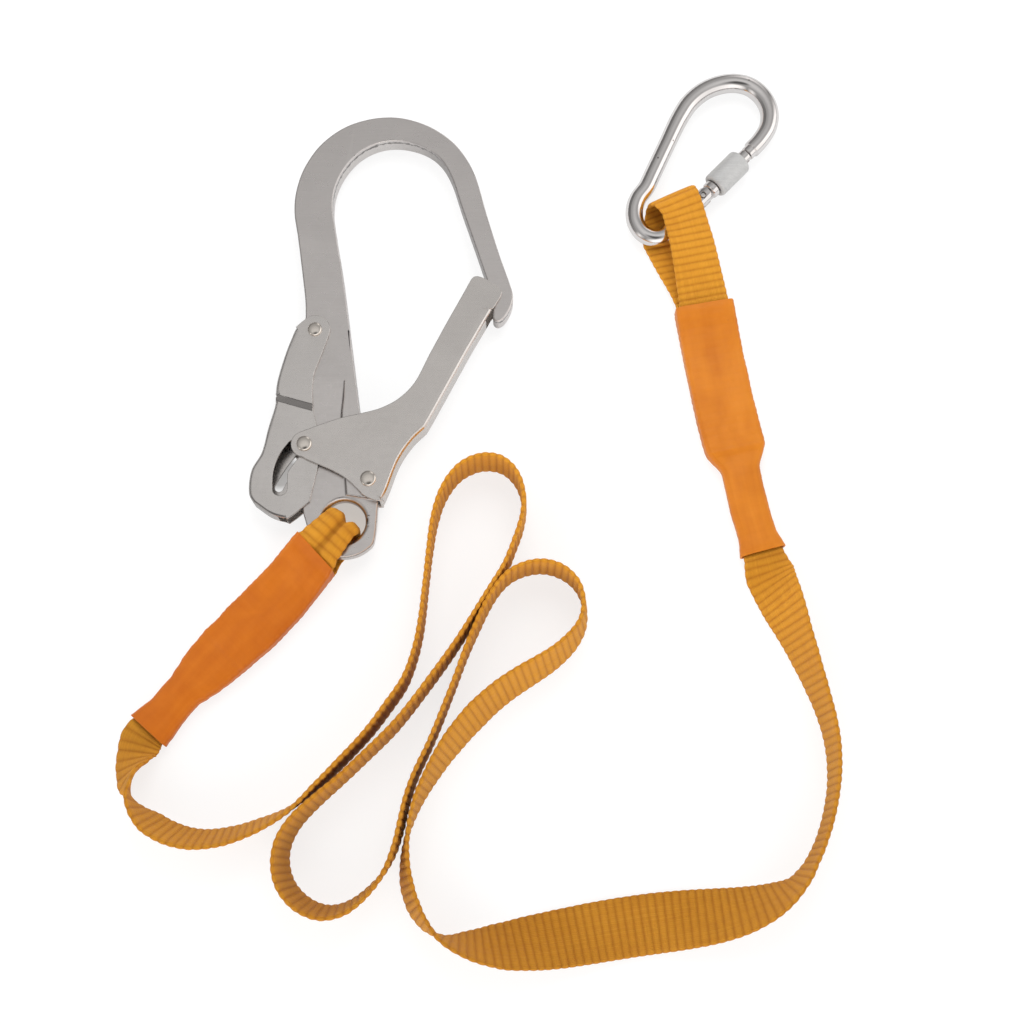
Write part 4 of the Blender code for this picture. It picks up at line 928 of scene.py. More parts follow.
def build_hook():
    cuts, shank = step_across(
        (-90.2, 123.6), unit(np.array([0.24, 0.97])), half=2.7, low=SHANK_HALF, high=BOW_HALF
    )
    # only the left arm gets thinner
    half = lambda x, y: shank(x, y) if x < -58 else BOW_HALF
    body = plate("hook_body_plate", body_outline(), half, cuts=cuts)

    pressed = outline(PRESSED_AREA, step=3.0)
    lug_cuts, lug = step_across(
        (-75.0, 50.5), (0.0, 1.0), half=12.4, low=LUG_HALF, high=SHANK_HALF + 0.06, parts=10
    )
    above = slab("press_front", pressed, HOOK_Z + 12, lambda x, y: HOOK_Z + lug(x, y), lug_cuts)
    below = slab("press_back", pressed, lambda x, y: HOOK_Z - lug(x, y), HOOK_Z - 12, lug_cuts)

    # height, radius of the eye's cutter: it widens above and below the lug
    mouth_r = EYE_R + EYE_RIM
    eye_profile = [
        (0.0, mouth_r + 3.7),
        (HOOK_Z - LUG_HALF - 0.9, mouth_r + 0.9),
        (HOOK_Z - LUG_HALF + EYE_RIM, EYE_R),
        (HOOK_Z + LUG_HALF - EYE_RIM, EYE_R),
        (HOOK_Z + LUG_HALF + 0.9, mouth_r + 0.9),
        (17, mouth_r + 4.0),
    ]
    eye = turned("eye_cutter", eye_profile, (*EYE, 0), (0, 0, 1), 96)
    tools = [above, below, eye]
    tools.append(hole("gate_hole", GATE_PIVOT, RIVET_R, 0, 17))
    tools.append(hole("lever_hole", LEVER_PIVOT, RIVET_R, 0, 17))
    # round-ended recesses: start, direction in degrees, reach, floor, half width
    for name, at, degrees, reach, floor, radius in (
        ("gate_seat", GATE_PIVOT, -27, 11, HOOK_Z + 1.2, 5.1),
        ("lever_seat", LEVER_PIVOT, 180, 9, HOOK_Z + 1.4, 4.3),
    ):
        angle = math.radians(degrees)
        end = (at[0] + reach * math.cos(angle), at[1] + reach * math.sin(angle))
        tools.append(slab(name, thick_line([at, end], radius, 12), HOOK_Z + 8, floor))
    carve(body, tools)
    seams = [(*EYE, 1, 0), (*GATE_PIVOT, 1, 0), (*LEVER_PIVOT, 0, 1), (-58, 100, 1, 0)]
    soften(body, 0.8, segments=4, seams=seams)
    place(body, PLATE, "hook", "hook_body")


def build_gate():
    loop = outline(
        GATE_NOSE + GATE_SPINE + GATE_FOOT + arc(CAM_PIN, 6.0, 262, 118, 14) + GATE_LEFT,
        step=FINE,
    )
    folded = lambda x, y: 2.5 < y < 91.0 and x > edge_x(GATE_SPINE, y) - 0.8
    top, bottom = HOOK_Z + GATE_OUT, HOOK_Z - GATE_OUT
    gate = slab("gate_sheet", loop, top, bottom, fold=folded, fold_r=2.5)
    channel = slab("gate_channel", GATE_HOLLOW, HOOK_Z + GATE_IN, HOOK_Z - GATE_IN)
    pivot = hole("gate_pivot_hole", GATE_PIVOT, RIVET_R)
    pin = hole("gate_pin_hole", CAM_PIN, CAM_R)
    carve(gate, [channel, pivot, pin])
    soften(gate, 0.36, seams=[(*GATE_PIVOT, 1, 0), (*CAM_PIN, 1, 0)])
    place(gate, GATE, "gate", "hook_gate")


def cam_track():
    """The way of the cam pin over the lever, as the gate opens and the lever is pressed."""
    way = []
    for i in range(15):
        share = -0.02 + 1.04 * i / 14
        at = turn_about(CAM_PIN, GATE_PIVOT, share * GATE_OPEN_DEG)
        way.append(turn_about(at, LEVER_PIVOT, -share * LEVER_PRESS_DEG))
    return way


def build_lever():
    head = [LEVER_SPINE[-1], (-96.6, 85.4, 1)] + arc(LEVER_PIVOT, 6.9, 138, -8, 18)
    loop = outline(head + LEVER_RIGHT + LEVER_SPINE[:-1], step=FINE)
    normal = unit(np.array([0.27, 0.96]))
    # the cheeks step outwards above this line
    x, y = -97.6, 47.4
    cuts, outer = step_across((x, y), normal, half=1.7, low=LEVER_LOW_OUT, high=LEVER_UP_OUT)
    inner_cuts, inner = step_across(
        (x, y + 0.4), normal, half=1.7, low=LEVER_LOW_IN, high=LEVER_UP_IN
    )

    def folded(x, y):
        """The spine down the outer side and round the foot."""
        if y < 3.0:
            return x < -100.2
        return y < 82.5 and x < edge_x(LEVER_SPINE, y) + 0.9

    lever = plate("lever_sheet", loop, outer, cuts=cuts, fold=folded, fold_r=1.6)
    channel = plate("lever_channel", LEVER_HOLLOW, inner, cuts=inner_cuts)
    pivot = hole("lever_pivot_hole", LEVER_PIVOT, RIVET_R)
    window_loop = thick_line(run_curve(CAM_WINDOW, 1.2), 3.3, 14)
    window = slab("cam_window", window_loop, HOOK_Z + 9, HOOK_Z)
    track_loop = thick_line(cam_track(), CAM_R + PLAY + 0.05, 8)
    track = slab("cam_track", track_loop, HOOK_Z + 9, HOOK_Z - 9)
    carve(lever, [channel, pivot, window, track])
    seams = [(*LEVER_PIVOT, 1, 0), (-101.2, 15, 1, 0), (-98.0, 22.0, 0, 1), (-103, 12, 0, 1)]
    soften(lever, 0.24, segments=2, seams=seams)
    place(lever, LEVER, "lever", "lock_lever")


def build_rivet(node, body, at, shank_r, under, head_r):
    """A rivet with a domed head at both ends; under is where the heads begin."""
    dome = [(under, shank_r), (under, head_r - 0.08), (under + 0.12, head_r)]
    dome.append((under + RIVET_BAND, head_r))
    for i in range(1, 11):
        angle = math.pi / 2 * i / 10
        reach = under + RIVET_BAND + (RIVET_DOME - RIVET_BAND) * math.sin(angle)
        dome.append((reach, head_r * math.cos(angle) ** 0.85 if i < 10 else 0.0))
    profile = [(-reach, radius) for reach, radius in reversed(dome)] + dome
    piece = turned(node + "_domed", profile, (*at, HOOK_Z), (0, 0, 1))
    soften(piece)
    place(piece, RIVET, body, node)


# ================================================================ carabiner
# The rod's middle line from the nose over the top and down to the hinge end
ROD_LINE = [
    (117.9, 181.0), (122.0, 188.0), (123.0, 196.0), (120.2, 203.8), (114.4, 209.4),
    (107.4, 211.4), (100.0, 210.6), (92.3, 207.3), (85.4, 201.3), (80.2, 193.2), (73.2, 178.2),
    (66.4, 163.3), (63.2, 156.4), (59.3, 150.8), (57.5, 145.2), (57.9, 138.6), (61.2, 133.0),
    (66.6, 130.6), (71.6, 131.9),
]


def along(reach, side=0.0, up=0.0):
    """A point at that distance from the hinge; side is positive to the inside of the ring."""
    x = HINGE[0] + GATE_DIR[0] * reach - GATE_DIR[1] * side
    y = HINGE[1] + GATE_DIR[1] * reach + GATE_DIR[0] * side
    return (x, y, CAR_Z + up)


def slab_along(name, points, half):
    """A slab over (distance from the hinge, side) points."""
    loop = [along(reach, side)[:2] for reach, side in points]
    return slab(name, loop, CAR_Z + half, CAR_Z - half)


def slot_between(name, start, end, half):
    """A wide cutter from start to end along the gate."""
    return slab_along(name, [(start, -8), (end, -8), (end, 8), (start, 8)], half)


def swept_rod(name, path, radii, count):
    path = np.array(path, float)
    ways = np.gradient(path, axis=0)
    ways /= np.linalg.norm(ways, axis=1)[:, None]
    angles = [2 * math.pi * (k + 0.5) / count for k in range(count)]
    rings = []
    for (x, y), way, radius in zip(path, ways, radii):
        ring = []
        for angle in angles:
            side = radius * math.cos(angle)
            z = CAR_Z + radius * math.sin(angle)
            ring.append((x - way[1] * side, y + way[0] * side, z))
        rings.append(ring)
    return loft(name, rings)


def build_carabiner_body():
    path = run_curve([along(NOSE_S)[:2], *ROD_LINE, along(-21.0)[:2], along(4.1)[:2]], 1.3)
    # the rod is thicker round the top
    thick_y = max(point[1] for point in path) - 34
    radii = [ROD_R + (ROD_TOP_R - ROD_R) * smooth((y - thick_y) / 26.0) for x, y in path]
    body = swept_rod("carabiner_rod", path, radii, 48)
    stub_profile = [(0, THIN_R), (NOSE_S - STUB_S + 1.5, THIN_R)]
    stub = turned("nose_stub", stub_profile, along(STUB_S), (*GATE_DIR, 0), 48)
    base = STUB_S + 1.0
    tongue_loop = [(base, -2.4), (base, 2.4), (28.6, 2.4), (28.1, 1.6), (28.1, -1.8), (28.6, -2.4)]
    tongue = slab_along("nose_tongue", tongue_loop, TONGUE_HALF)
    near, far = LATCH_S - 1.15, LATCH_S + 1.15
    notch = slab_along("tongue_notch", [(near, -1.2), (far, -1.2), (far, 6), (near, 6)], 3.0)
    slot = slot_between("fork_slot", -4.5, 9, SLOT_HALF)
    hinge_hole = rod_between("fork_hole", along(0, 0, -6), along(0, 0, 6), HINGE_PIN_R + PLAY)
    bore = rod_between("plunger_bore", along(-15.0), along(-4.0), 1.65)
    # leaves the fork's end rounded about the hinge
    end_loop = [(9, -8), (9, 8), (0.0, 8.0)]
    for degrees in range(90, -91, -15):
        angle = math.radians(degrees)
        end_loop.append((4.1 * math.cos(angle), 4.6 * math.sin(angle)))
    round_end = slab_along("fork_end", end_loop + [(0.0, -8.0)], 8.0)
    carve(body, [notch, slot, hinge_hole, bore, round_end], [stub, tongue])
    soften(body, 0.3, degrees=40)
    place(body, ROD, "carabiner", "carabiner_body")


def build_carabiner_gate():
    profile = [
        (SHOULDER_S, 3.5), (SHOULDER_S + 0.6, ROD_R), (THIN_S - 0.3, ROD_R),
        (THIN_S, THIN_R + 0.35), (THIN_S, THIN_R), (TIP_S - 0.5, THIN_R), (TIP_S, THIN_R - 0.5),
    ]
    gate = turned("carabiner_gate_rod", profile, along(0), (*GATE_DIR, 0), 48)
    root = SHOULDER_S + 1.5
    foot = arc((0, 0), FOOT_R, 65, 293, 38)
    blade = slab_along("gate_blade", [(root, -3.3), (root, 3.3)] + foot, BLADE_HALF)
    slot = slot_between("gate_slot", 27.3, 40, TONGUE_HALF + PLAY)
    low, high = along(0, 0, -6), along(0, 0, 6)
    pin_hole = rod_between("gate_hinge_hole", low, high, HINGE_PIN_R + PLAY)
    carve(gate, [slot, pin_hole], [blade])
    soften(gate, 0.2, degrees=40)
    place(gate, ROD, "carabiner_gate_arm", "carabiner_gate")


def build_screw_sleeve():
    start, end = SLEEVE_S
    profile = [(start + 0.2, SLEEVE_BORE), (start, SLEEVE_BORE + 0.2)]
    for base, sign in ((start, 1), (end, -1)):
        rounding = []
        for i in range(7):
            angle = math.pi / 2 * i / 6
            reach = base + sign * SLEEVE_ROUND * (1 - math.cos(angle))
            rounding.append((reach, SLEEVE_R - SLEEVE_ROUND + SLEEVE_ROUND * math.sin(angle)))
        profile += rounding[::sign]
    profile += [(end, SLEEVE_BORE + 0.2), (end - 0.2, SLEEVE_BORE)]
    barrel = turned(
        "screw_sleeve_barrel", profile, along(0), (*GATE_DIR, 0), 120, closed_path=True
    )
    soften(barrel)
    place(barrel, SLEEVE, "lock_sleeve", "screw_sleeve")


def build_pin(node, reach, half, radius, body):
    """An upright pin with chamfered ends."""
    slim = radius - 0.2
    profile = [(-half, slim), (-half + 0.2, radius), (half - 0.2, radius), (half, slim)]
    pin = turned(node + "_turned", profile, along(reach), (0, 0, 1), 40)
    soften(pin)
    place(pin, PIN, body, node)


# ================================================================ splices
class Splice:
    """A folded end of the strap, read by distance from the middle of its fold.

    middle is the height of its middle, spacing that of its layers, widths the strap's width,
    each as (distance, value) rows. The upper layer ends at tail.
    """

    def __init__(self, points, middle, spacing, widths, tail):
        self.start = points[0]
        self.line = np.array(run_curve(points, 2.0))
        self.reach = distances(self.line)
        self.middle = middle
        self.spacing = spacing
        self.widths = widths
        self.tail = tail

    def at(self, distance):
        return np.array([np.interp(distance, self.reach, self.line[:, i]) for i in (0, 1)])

    def way(self, distance):
        ahead = self.at(min(distance + 4, self.reach[-1]))
        return unit(ahead - self.at(max(distance - 4, 0.0)))

    def side(self, distance):
        way = self.way(distance)
        return np.array([-way[1], way[0], 0.0])

    def fold_row(self, reach, z):
        """A strap row in the fold."""
        x, y = np.array(self.start) + self.way(FOLD_SPOT) * reach
        return (x, y, z, self.widths[0][1], WEB_T, self.side(FOLD_SPOT))

    def layer(self, start, end, sign):
        """Strap rows of one layer outside the fold; sign is +1 for the upper layer."""
        rows = []
        for distance in np.arange(start, end + 1e-6, ROW_STEP):
            x, y = self.at(distance)
            closed = smooth((distance - self.tail - 2.0) / 14.0)
            z = eased(distance, self.middle) + sign * (
                eased(distance, self.spacing) / 2 * (1 - closed)
            )
            width = eased(distance, self.widths)
            thick = WEB_T
            if distance > self.tail - 6:
                gathered = (SLEEVE_W - width) / (SLEEVE_W - GATHER_W)
                thick += (GATHER_T - WEB_T) * min(1.0, max(0.0, gathered))
            share = smooth((distance - start) / 30.0)
            across = unit(self.side(FOLD_SPOT) * (1 - share) + self.side(distance) * share)
            rows.append((x, y, z, width, thick, across))
        return rows


HOOK_SPLICE = Splice(
    points=[
        EYE, (-85.6, -20.2), (-96.6, -33.8), (-107.0, -45.4), (-116.8, -55.8), (-127.0, -65.8),
        (-137.2, -76.6), (-144.4, -84.4), (-150.2, -91.8), (-157.2, -99.6), (-160.4, -103.6),
    ],
    middle=[(17.0, HOOK_Z), (50.0, 4.35)],
    spacing=[(17.6, 9.4), (23.5, 5.0), (36.0, 2 * LAYER)],
    widths=[
        (8.0, 14.4), (13.0, 18.0), (19.0, 23.4), (22.0, SLEEVE_W), (40.0, 23.6), (60.0, 23.2),
        (72.0, 21.8), (84.0, 20.6), (90.0, 19.0), (96.0, 16.4), (101.0, GATHER_W),
        (111.0, GATHER_W), (120.0, 16.4), (126.0, 18.6),
    ],
    tail=76.0,
)
CAR_SPLICE = Splice(
    points=[
        (76.6, 152.2), (79.0, 142.0), (82.0, 128.0), (85.4, 112.0), (88.6, 96.1), (91.4, 78.2),
        (94.4, 60.2), (97.4, 44.0), (99.4, 34.6), (101.6, 25.2), (103.9, 12.0), (106.6, -1.6),
        (109.2, -11.6), (111.9, -21.6),
    ],
    middle=[(20.0, CAR_Z), (57.0, 6.3), (84.0, 4.35)],
    spacing=[(24.0, 11.2), (56.0, 5.0), (70.0, 2 * LAYER)],
    widths=[
        (9.0, 18.6), (20.0, 21.5), (34.0, 24.0), (125.0, SLEEVE_W), (138.0, GATHER_W),
        (166.0, GATHER_W), (178.0, 18.5), (184.0, 21.0),
    ],
    tail=127.0,
)


# ================================================================ webbing
# Strap rows are x, y, z, width, thickness, and the width direction or the lean in degrees.
def eye_fold_rows():
    """Down through the hook's eye."""
    bend, hold = 3.0, 3.6  # radius of the bends, nearest reach to the middle of the fold
    half = HOOK_SPLICE.spacing[0][1] / 2
    rows = []
    for sign, turns in ((1, range(15, 91, 15)), (-1, range(90, 14, -15))):
        for degrees in turns:
            angle = math.radians(degrees)
            z = HOOK_Z + sign * (half - bend + bend * math.cos(angle))
            rows.append(HOOK_SPLICE.fold_row(hold + bend - bend * math.sin(angle), z))
    return rows


def ring_fold_rows():
    """Under the carabiner's rod, round it and back on top."""
    radius = CAR_SPLICE.spacing[0][1] / 2
    rows = []
    for degrees in range(-75, 76, 15):
        angle = math.radians(degrees)
        z = CAR_Z + radius * math.sin(angle)
        rows.append(CAR_SPLICE.fold_row(CAR_FOLD - radius * math.cos(angle), z))
    return rows


def main_run_rows():
    knots = np.array(RUN, float)
    run = np.array(run_curve([point[:2] for point in RUN], ROW_STEP))
    reach = distances(run)
    spots = [reach[int(np.argmin(np.linalg.norm(run - knot[:2], axis=1)))] for knot in knots]
    leans = np.interp(reach, spots, knots[:, 2])
    rows = []
    for (x, y), lean, distance in zip(run, leans, reach):
        upright, flat = abs(math.cos(math.radians(lean))), abs(math.sin(math.radians(lean)))
        near = min(distance, reach[-1] - distance)
        narrowing = 5.0 if distance < reach[-1] / 2 else 3.0
        width = WEB_W - narrowing * (1 - smooth(near / 22.0))
        z = FLOOR_GAP + width / 2 * upright + WEB_T / 2 * flat
        # both ends rise or sink to the sleeve they enter
        z += (MOUTH_Z - z) * (1 - smooth((near + 6.0) / 22.0)) * flat**2
        rows.append((x, y, z, width, WEB_T, lean))
    return rows


def strap_rows():
    """The whole strap, tail to tail: middle points, width directions, widths, thicknesses."""
    rows = HOOK_SPLICE.layer(HOOK_FOLD, HOOK_SPLICE.tail, 1)[::-1]
    rows += eye_fold_rows()
    rows += HOOK_SPLICE.layer(HOOK_FOLD, 127.0, -1)
    first_run = len(rows)
    rows += main_run_rows()
    last_run = len(rows)
    rows += CAR_SPLICE.layer(CAR_FOLD, 182.0, -1)[::-1]
    rows += ring_fold_rows()
    rows += CAR_SPLICE.layer(CAR_FOLD, CAR_SPLICE.tail, 1)

    middle = np.array([row[:3] for row in rows])
    ways = unit(np.gradient(middle, axis=0))
    across = []
    for way, row in zip(ways, rows):
        if np.ndim(row[5]) == 0:
            right = np.array([way[1], -way[0], 0.0])
            right /= np.linalg.norm(right)
            lean = math.radians(row[5])
            across.append(np.cross(right, way) * math.cos(lean) + right * math.sin(lean))
        else:
            across.append(row[5])
    across = np.array(across)
    # ease the width direction over the two places where a splice meets the main run
    for _ in range(4):
        for i, j in ((first_run, first_run + 5), (last_run - 5, last_run)):
            around = across[i - 1 : j - 1] + across[i:j] * 2 + across[i + 1 : j + 1]
            across[i:j] = unit(around / 4)
    across = unit(across - (across * ways).sum(axis=1, keepdims=True) * ways)
    normal = np.cross(ways, across)
    width, thick = np.array([row[3] for row in rows]), np.array([row[4] for row in rows])
    # no edge goes below the plane the strap lies on
    lowest = FLOOR_GAP + width / 2 * abs(across[:, 2]) + thick / 2 * abs(normal[:, 2])
    middle[:, 2] = np.maximum(middle[:, 2], lowest)
    return middle, across, width, thick


def hermite(knots, values, at):
    """Smooth curve through the rows of values at the knots, read at the positions in at."""
    slopes = np.gradient(values, knots, axis=0)
    i = np.clip(np.searchsorted(knots, at) - 1, 0, len(knots) - 2)
    gap = (knots[i + 1] - knots[i])[:, None]
    x = ((at - knots[i]) / (knots[i + 1] - knots[i]))[:, None]
    start = (1 + 2 * x) * (1 - x) ** 2 * values[i] + x * (1 - x) ** 2 * gap * slopes[i]
    end = x * x * (3 - 2 * x) * values[i + 1]
    return start + end + x * x * (x - 1) * gap * slopes[i + 1]


def fine_strap():
    """Positions along the strap, then its middle, width direction, normal, width, thickness."""
    rows, row_across, width, thick = strap_rows()
    knots = distances(rows)
    at = np.arange(0.0, knots[-1], STATION)
    middle = hermite(knots, rows, at)
    ways = unit(np.gradient(middle, axis=0))
    across = unit(hermite(knots, row_across, at))
    across = unit(across - (across * ways).sum(axis=1, keepdims=True) * ways)
    normal = np.cross(ways, across)
    return at, middle, across, normal, np.interp(at, knots, width), np.interp(at, knots, thick)


def strap_section():
    """The section as a ring of (share of half width, share of half thickness)."""
    flat = np.linspace(-0.93, 0.93, 15)
    turns = np.linspace(0, math.pi, 7)[1:-1]
    ring = [(x, 1.0) for x in flat]
    ring += [(0.93 + 0.07 * math.sin(angle), math.cos(angle)) for angle in turns]
    ring += [(x, -1.0) for x in flat[::-1]]
    ring += [(-0.93 - 0.07 * math.sin(angle), -math.cos(angle)) for angle in turns]
    return np.array(ring)


def rib_height(at):
    """0 in the groove, 1 on the crest, with small differences from rib to rib."""
    index = np.floor(at / RIB)
    uneven = 0.92 + 0.08 * np.sin(index * 2.399) * np.cos(index * 0.731)
    return np.abs(np.sin(np.pi * at / RIB)) ** 0.85 * uneven


def web_piece(name, strap, start, end, lobes=None, push=None, crease=None):
    """The strap from start to end.

    lobes lifts its surface, push moves it, and crease, a painted shade, is written to the shade
    attribute.
    """
    inside = (strap[0] >= start) & (strap[0] <= end)
    at, middle, across, normal, width, thick = [values[inside] for values in strap]
    ring = strap_section()
    count, rings = len(ring), len(at)
    rib = rib_height(at)
    verts = np.zeros((rings, count, 3))
    for k, (x, y) in enumerate(ring):
        edge = smooth((abs(x) - 0.78) / 0.22)
        side = width / 2 * x + np.sign(x) * edge * (0.30 * rib - 0.22)
        # flats bulge at each rib; the selvedge is a little thinner
        lift = thick / 2 * y + y * (0.48 * (rib - 0.64)) * (1 - 0.35 * edge)
        lift = lift - np.sign(y) * 0.16 * edge * abs(y)
        # slight lengthwise waviness of a used strap
        lift = lift + 0.22 * np.sin(at / 9.7 + x * 1.3) * np.cos(at / 23.0 - x * 0.8)
        if lobes is not None:
            lift = lift + lobes(at, x)
        verts[:, k] = middle + across * side[:, None] + normal * lift[:, None]
        if push is not None:
            verts[:, k] += push(at, x, side)
    verts[:, :, 2] = np.maximum(verts[:, :, 2], 0.12)
    mesh = new_mesh(name, verts.reshape(-1, 3), ring_faces(rings, count))
    if crease is not None:
        shade = np.array([crease(at, x, y) for x, y in ring]).T.ravel()
        attribute = mesh.attributes.new("shade", "FLOAT", "POINT")
        attribute.data.foreach_set("value", shade.astype(np.float32))
    # u counts ribs and v yarns; the last step closes the ring, and the caps stay at zero
    girth = distances(ring * (WEB_W / 2, WEB_T / 2))
    yarns = np.append(girth, girth[-1] + 1.0) / YARN
    ribs = at / RIB
    coords = [
        (ribs[i + ahead], yarns[k + beside])
        for i in range(rings - 1)
        for k in range(count)
        for ahead, beside in ((0, 0), (0, 1), (1, 1), (1, 0))
    ]
    coords += [(0.0, 0.0)] * (2 * count)
    weave = mesh.uv_layers.new(name="weave")
    weave.data.foreach_set("uv", np.array(coords, np.float32).ravel())
    face_outward(mesh, recalc=False)
    mesh.shade_smooth()
    return add(name, mesh)


def build_strap():
    at, middle, across, normal, width, thick = fine_strap()

    def nearest(splice, reach, z):
        """Where along the strap its middle comes nearest to a spot in a fold."""
        spot = np.array(splice.start) + splice.way(FOLD_SPOT) * reach
        off = np.linalg.norm(middle[:, :2] - spot, axis=1) + np.abs(middle[:, 2] - z)
        return at[np.argmin(off)]

    hook_fold = nearest(HOOK_SPLICE, 3.6, HOOK_Z)
    car_fold = nearest(CAR_SPLICE, 0.2, CAR_Z)
    hook_x, hook_y = HOOK_SPLICE.way(FOLD_SPOT)
    car_x, car_y = CAR_SPLICE.way(FOLD_SPOT)

    # the loop fills the eye: it is drawn up to its middle and kept as wide as it allows
    near = np.abs(at - hook_fold)
    share = np.clip((near - 5.0) / 17.0, 0, 1)
    share = 1 - share * share * (3 - 2 * share)
    middle = middle - np.column_stack([hook_x * share, hook_y * share, 0 * share]) * 2.5
    room = straight(
        near, [(0, 17.2), (5.0, 17.4), (9.0, 18.6), (14.0, 20.6), (22.0, 22.4), (28.0, 22.8)]
    )
    width = np.where(near < 28.0, np.maximum(width, room), width)

    def lobes(at, x):
        """The loop is squeezed in the eye into two long lobes with a crease between them."""
        off = np.abs(at - hook_fold)
        near = straight(off, [(0, 1.0), (6, 1.0), (12, 0.85), (19, 0.45), (28, 0.05)])
        valley = math.exp(-(((x - 0.06) / 0.20) ** 2))
        ripple = 0.14 * math.cos(x * 15.0)
        return -near * (2.7 * (1 - valley) - 1.5 * abs(x) ** 5 + ripple - 0.1)

    def crease(at, x, y):
        """Painted shade: the folded middle of the loop is painted darker."""
        off = np.abs(at - hook_fold)
        fade = straight(off, [(0, 0.35), (3, 0.75), (10, 0.65), (18, 0.40), (24, 0.0)]) * (y < 0)
        return fade * math.exp(-(((x - 0.06) / 0.10) ** 2))

    # the ring's loop: the fold sits askew in the ring, and each layer has its own way off
    past = at - car_fold
    upper = past >= 0
    upper_width = straight(
        past, [(0, 23.4), (5, 22.4), (12, 20.2), (25, 20.4), (45, 21.8), (60, 23.0)]
    )
    lower_width = straight(-past, [(0, 23.4), (10, 23.0), (60, 23.4)])
    width = np.where(np.abs(past) < 60, np.where(upper, upper_width, lower_width), width)
    upper_move = straight(
        past, [(0, -2.2), (4, -1.5), (12, 0.5), (30, 0.8), (50, 0.4), (60, 0)]
    )
    lower_move = straight(
        -past, [(0, -2.2), (6, -4.0), (14, -7.3), (22, -8.3), (36, -5.0), (50, -1.5), (60, 0)]
    )
    kernel = np.hanning(15) / np.hanning(15).sum()
    move = np.convolve(np.where(upper, upper_move, lower_move), kernel, mode="same")
    middle = middle + across * move[:, None]

    def askew(at, x, side):
        """Tilts the fold in plan, and curls up one edge of the upper layer."""
        past = at - car_fold
        tilt = -0.22 * side * straight(np.abs(past), [(0, 1.0), (9, 0.9), (26, 0.0)])
        push = np.outer(tilt, [car_x, car_y, 0.0])
        if x < -0.55:
            curl = 1.5 * ((-x - 0.55) / 0.45) ** 2
            push[:, 2] += curl * straight(past, [(1, 0), (6, 1.0), (26, 0.8), (50, 0.0)])
        return push

    strap = (at, middle, across, normal, width, thick)
    run_start, run_end, gap = hook_fold + 104.0, car_fold - 152.0, 0.3
    pieces = [
        web_piece("hook_loop_webbing", strap, 0.0, run_start, lobes=lobes, crease=crease),
        web_piece("main_run_webbing", strap, run_start + gap, run_end),
        web_piece("carabiner_loop_webbing", strap, run_end + gap, at[-1], push=askew),
    ]
    for piece in pieces:
        place(piece, WEB, "strap", "webbing_strap")


# ================================================================ shrink tubes
def rounded_box(half, up, down, radius, crown):
    """Points round a flat rounded section; up and down are its half heights."""
    flat = np.linspace(-1, 1, 25)[:-1]
    sides = np.linspace(0, 1, 4)[:-1]
    inner, high, low = half - radius, up - radius, radius - down
    points = [(x * inner, up + crown * (1 - x * x)) for x in flat]
    points += arc((inner, high), radius, 90, 0, 7)[:-1]
    points += [(half, high * (1 - share) + low * share) for share in sides]
    points += arc((inner, low), radius, 0, -90, 7)[:-1]
    points += [(x * inner, -down - crown * 0.4 * (1 - x * x)) for x in -flat]
    points += arc((-inner, low), radius, -90, -180, 7)[:-1]
    points += [(-half, low * (1 - share) + high * share) for share in sides]
    points += arc((-inner, high), radius, 180, 90, 7)[:-1]
    return points


def bell(x, middle, spread):
    return math.exp(-(((x - middle) / spread) ** 2))


def tube_rings(splice, span, places, seed, slant, slim):
    """The outer and inner rings of a shrink tube."""
    outer, inner = [], []
    for place_q in places:
        past = place_q - splice.tail
        drop = smooth((past + 0.6) / 4.2)  # the upper side falls past the strap's tail
        low = smooth((past - 1.0) / 13.0)  # the lower side follows more slowly
        ridge = bell(place_q, splice.tail + 0.4, 1.3)
        ends = bell(place_q, span[0], 1.6) + bell(place_q, span[1], 1.6)
        rib = abs(math.sin(math.pi * place_q / RIB))
        width = max(eased(place_q, splice.widths), GATHER_W)
        half = width / 2 + 0.65 - float(straight(place_q, slim))
        lean = slant * (1 - smooth((place_q - span[0]) / 26.0))
        tall = eased(place_q, splice.spacing) / 2 + WEB_T / 2 + 1.0
        up = tall * (1 - drop) + 2.5 * drop
        down = tall * (1 - low) + 2.6 * low
        middle = eased(place_q, splice.middle)

        def dented(across, height):
            """Moves a point of the outer skin by dents, ribs and the ridge over the tail."""
            spot = Vector((place_q * 0.055, across * 0.11, seed + (0 if height > 0 else 5)))
            dent = noise.noise(spot) * 0.34 + noise.noise(spot * 3.1) * 0.12
            edge = smooth((abs(across) - half + 2.4) / 2.4)
            ragged = noise.noise(Vector((place_q * 0.12, seed, math.copysign(3, across))))
            swell = edge * (0.20 * rib * (1 - 0.6 * low) + 0.30 * ragged)
            across = across + math.copysign(swell, across)
            dent = (0.05 * rib * (1 - low) + dent * (1 - 0.5 * ends)) * (1 - 0.5 * edge)
            height = height + math.copysign(1, height) * dent
            if height > 0:
                height += 0.22 * ridge * (0.6 + 0.4 * math.sin(across * 0.5 + seed))
            return across, height - math.copysign(0.10 * ends, height)

        for rings, wall in ((inner, 0.0), (outer, SLEEVE_WALL)):
            radius = 1.15 + 0.45 * low + wall
            box = rounded_box(half + wall, up + wall, down + wall, radius, 0.15 + 0.35 * low)
            ring = []
            for across, height in box:
                if wall:
                    across, height = dented(across, height)
                spot = place_q + lean * across
                x, y = splice.at(spot)
                side = splice.side(spot)
                z = max(middle + height, 0.10)
                ring.append((x + side[0] * across, y + side[1] * across, z))
            rings.append(ring)
    return outer, inner


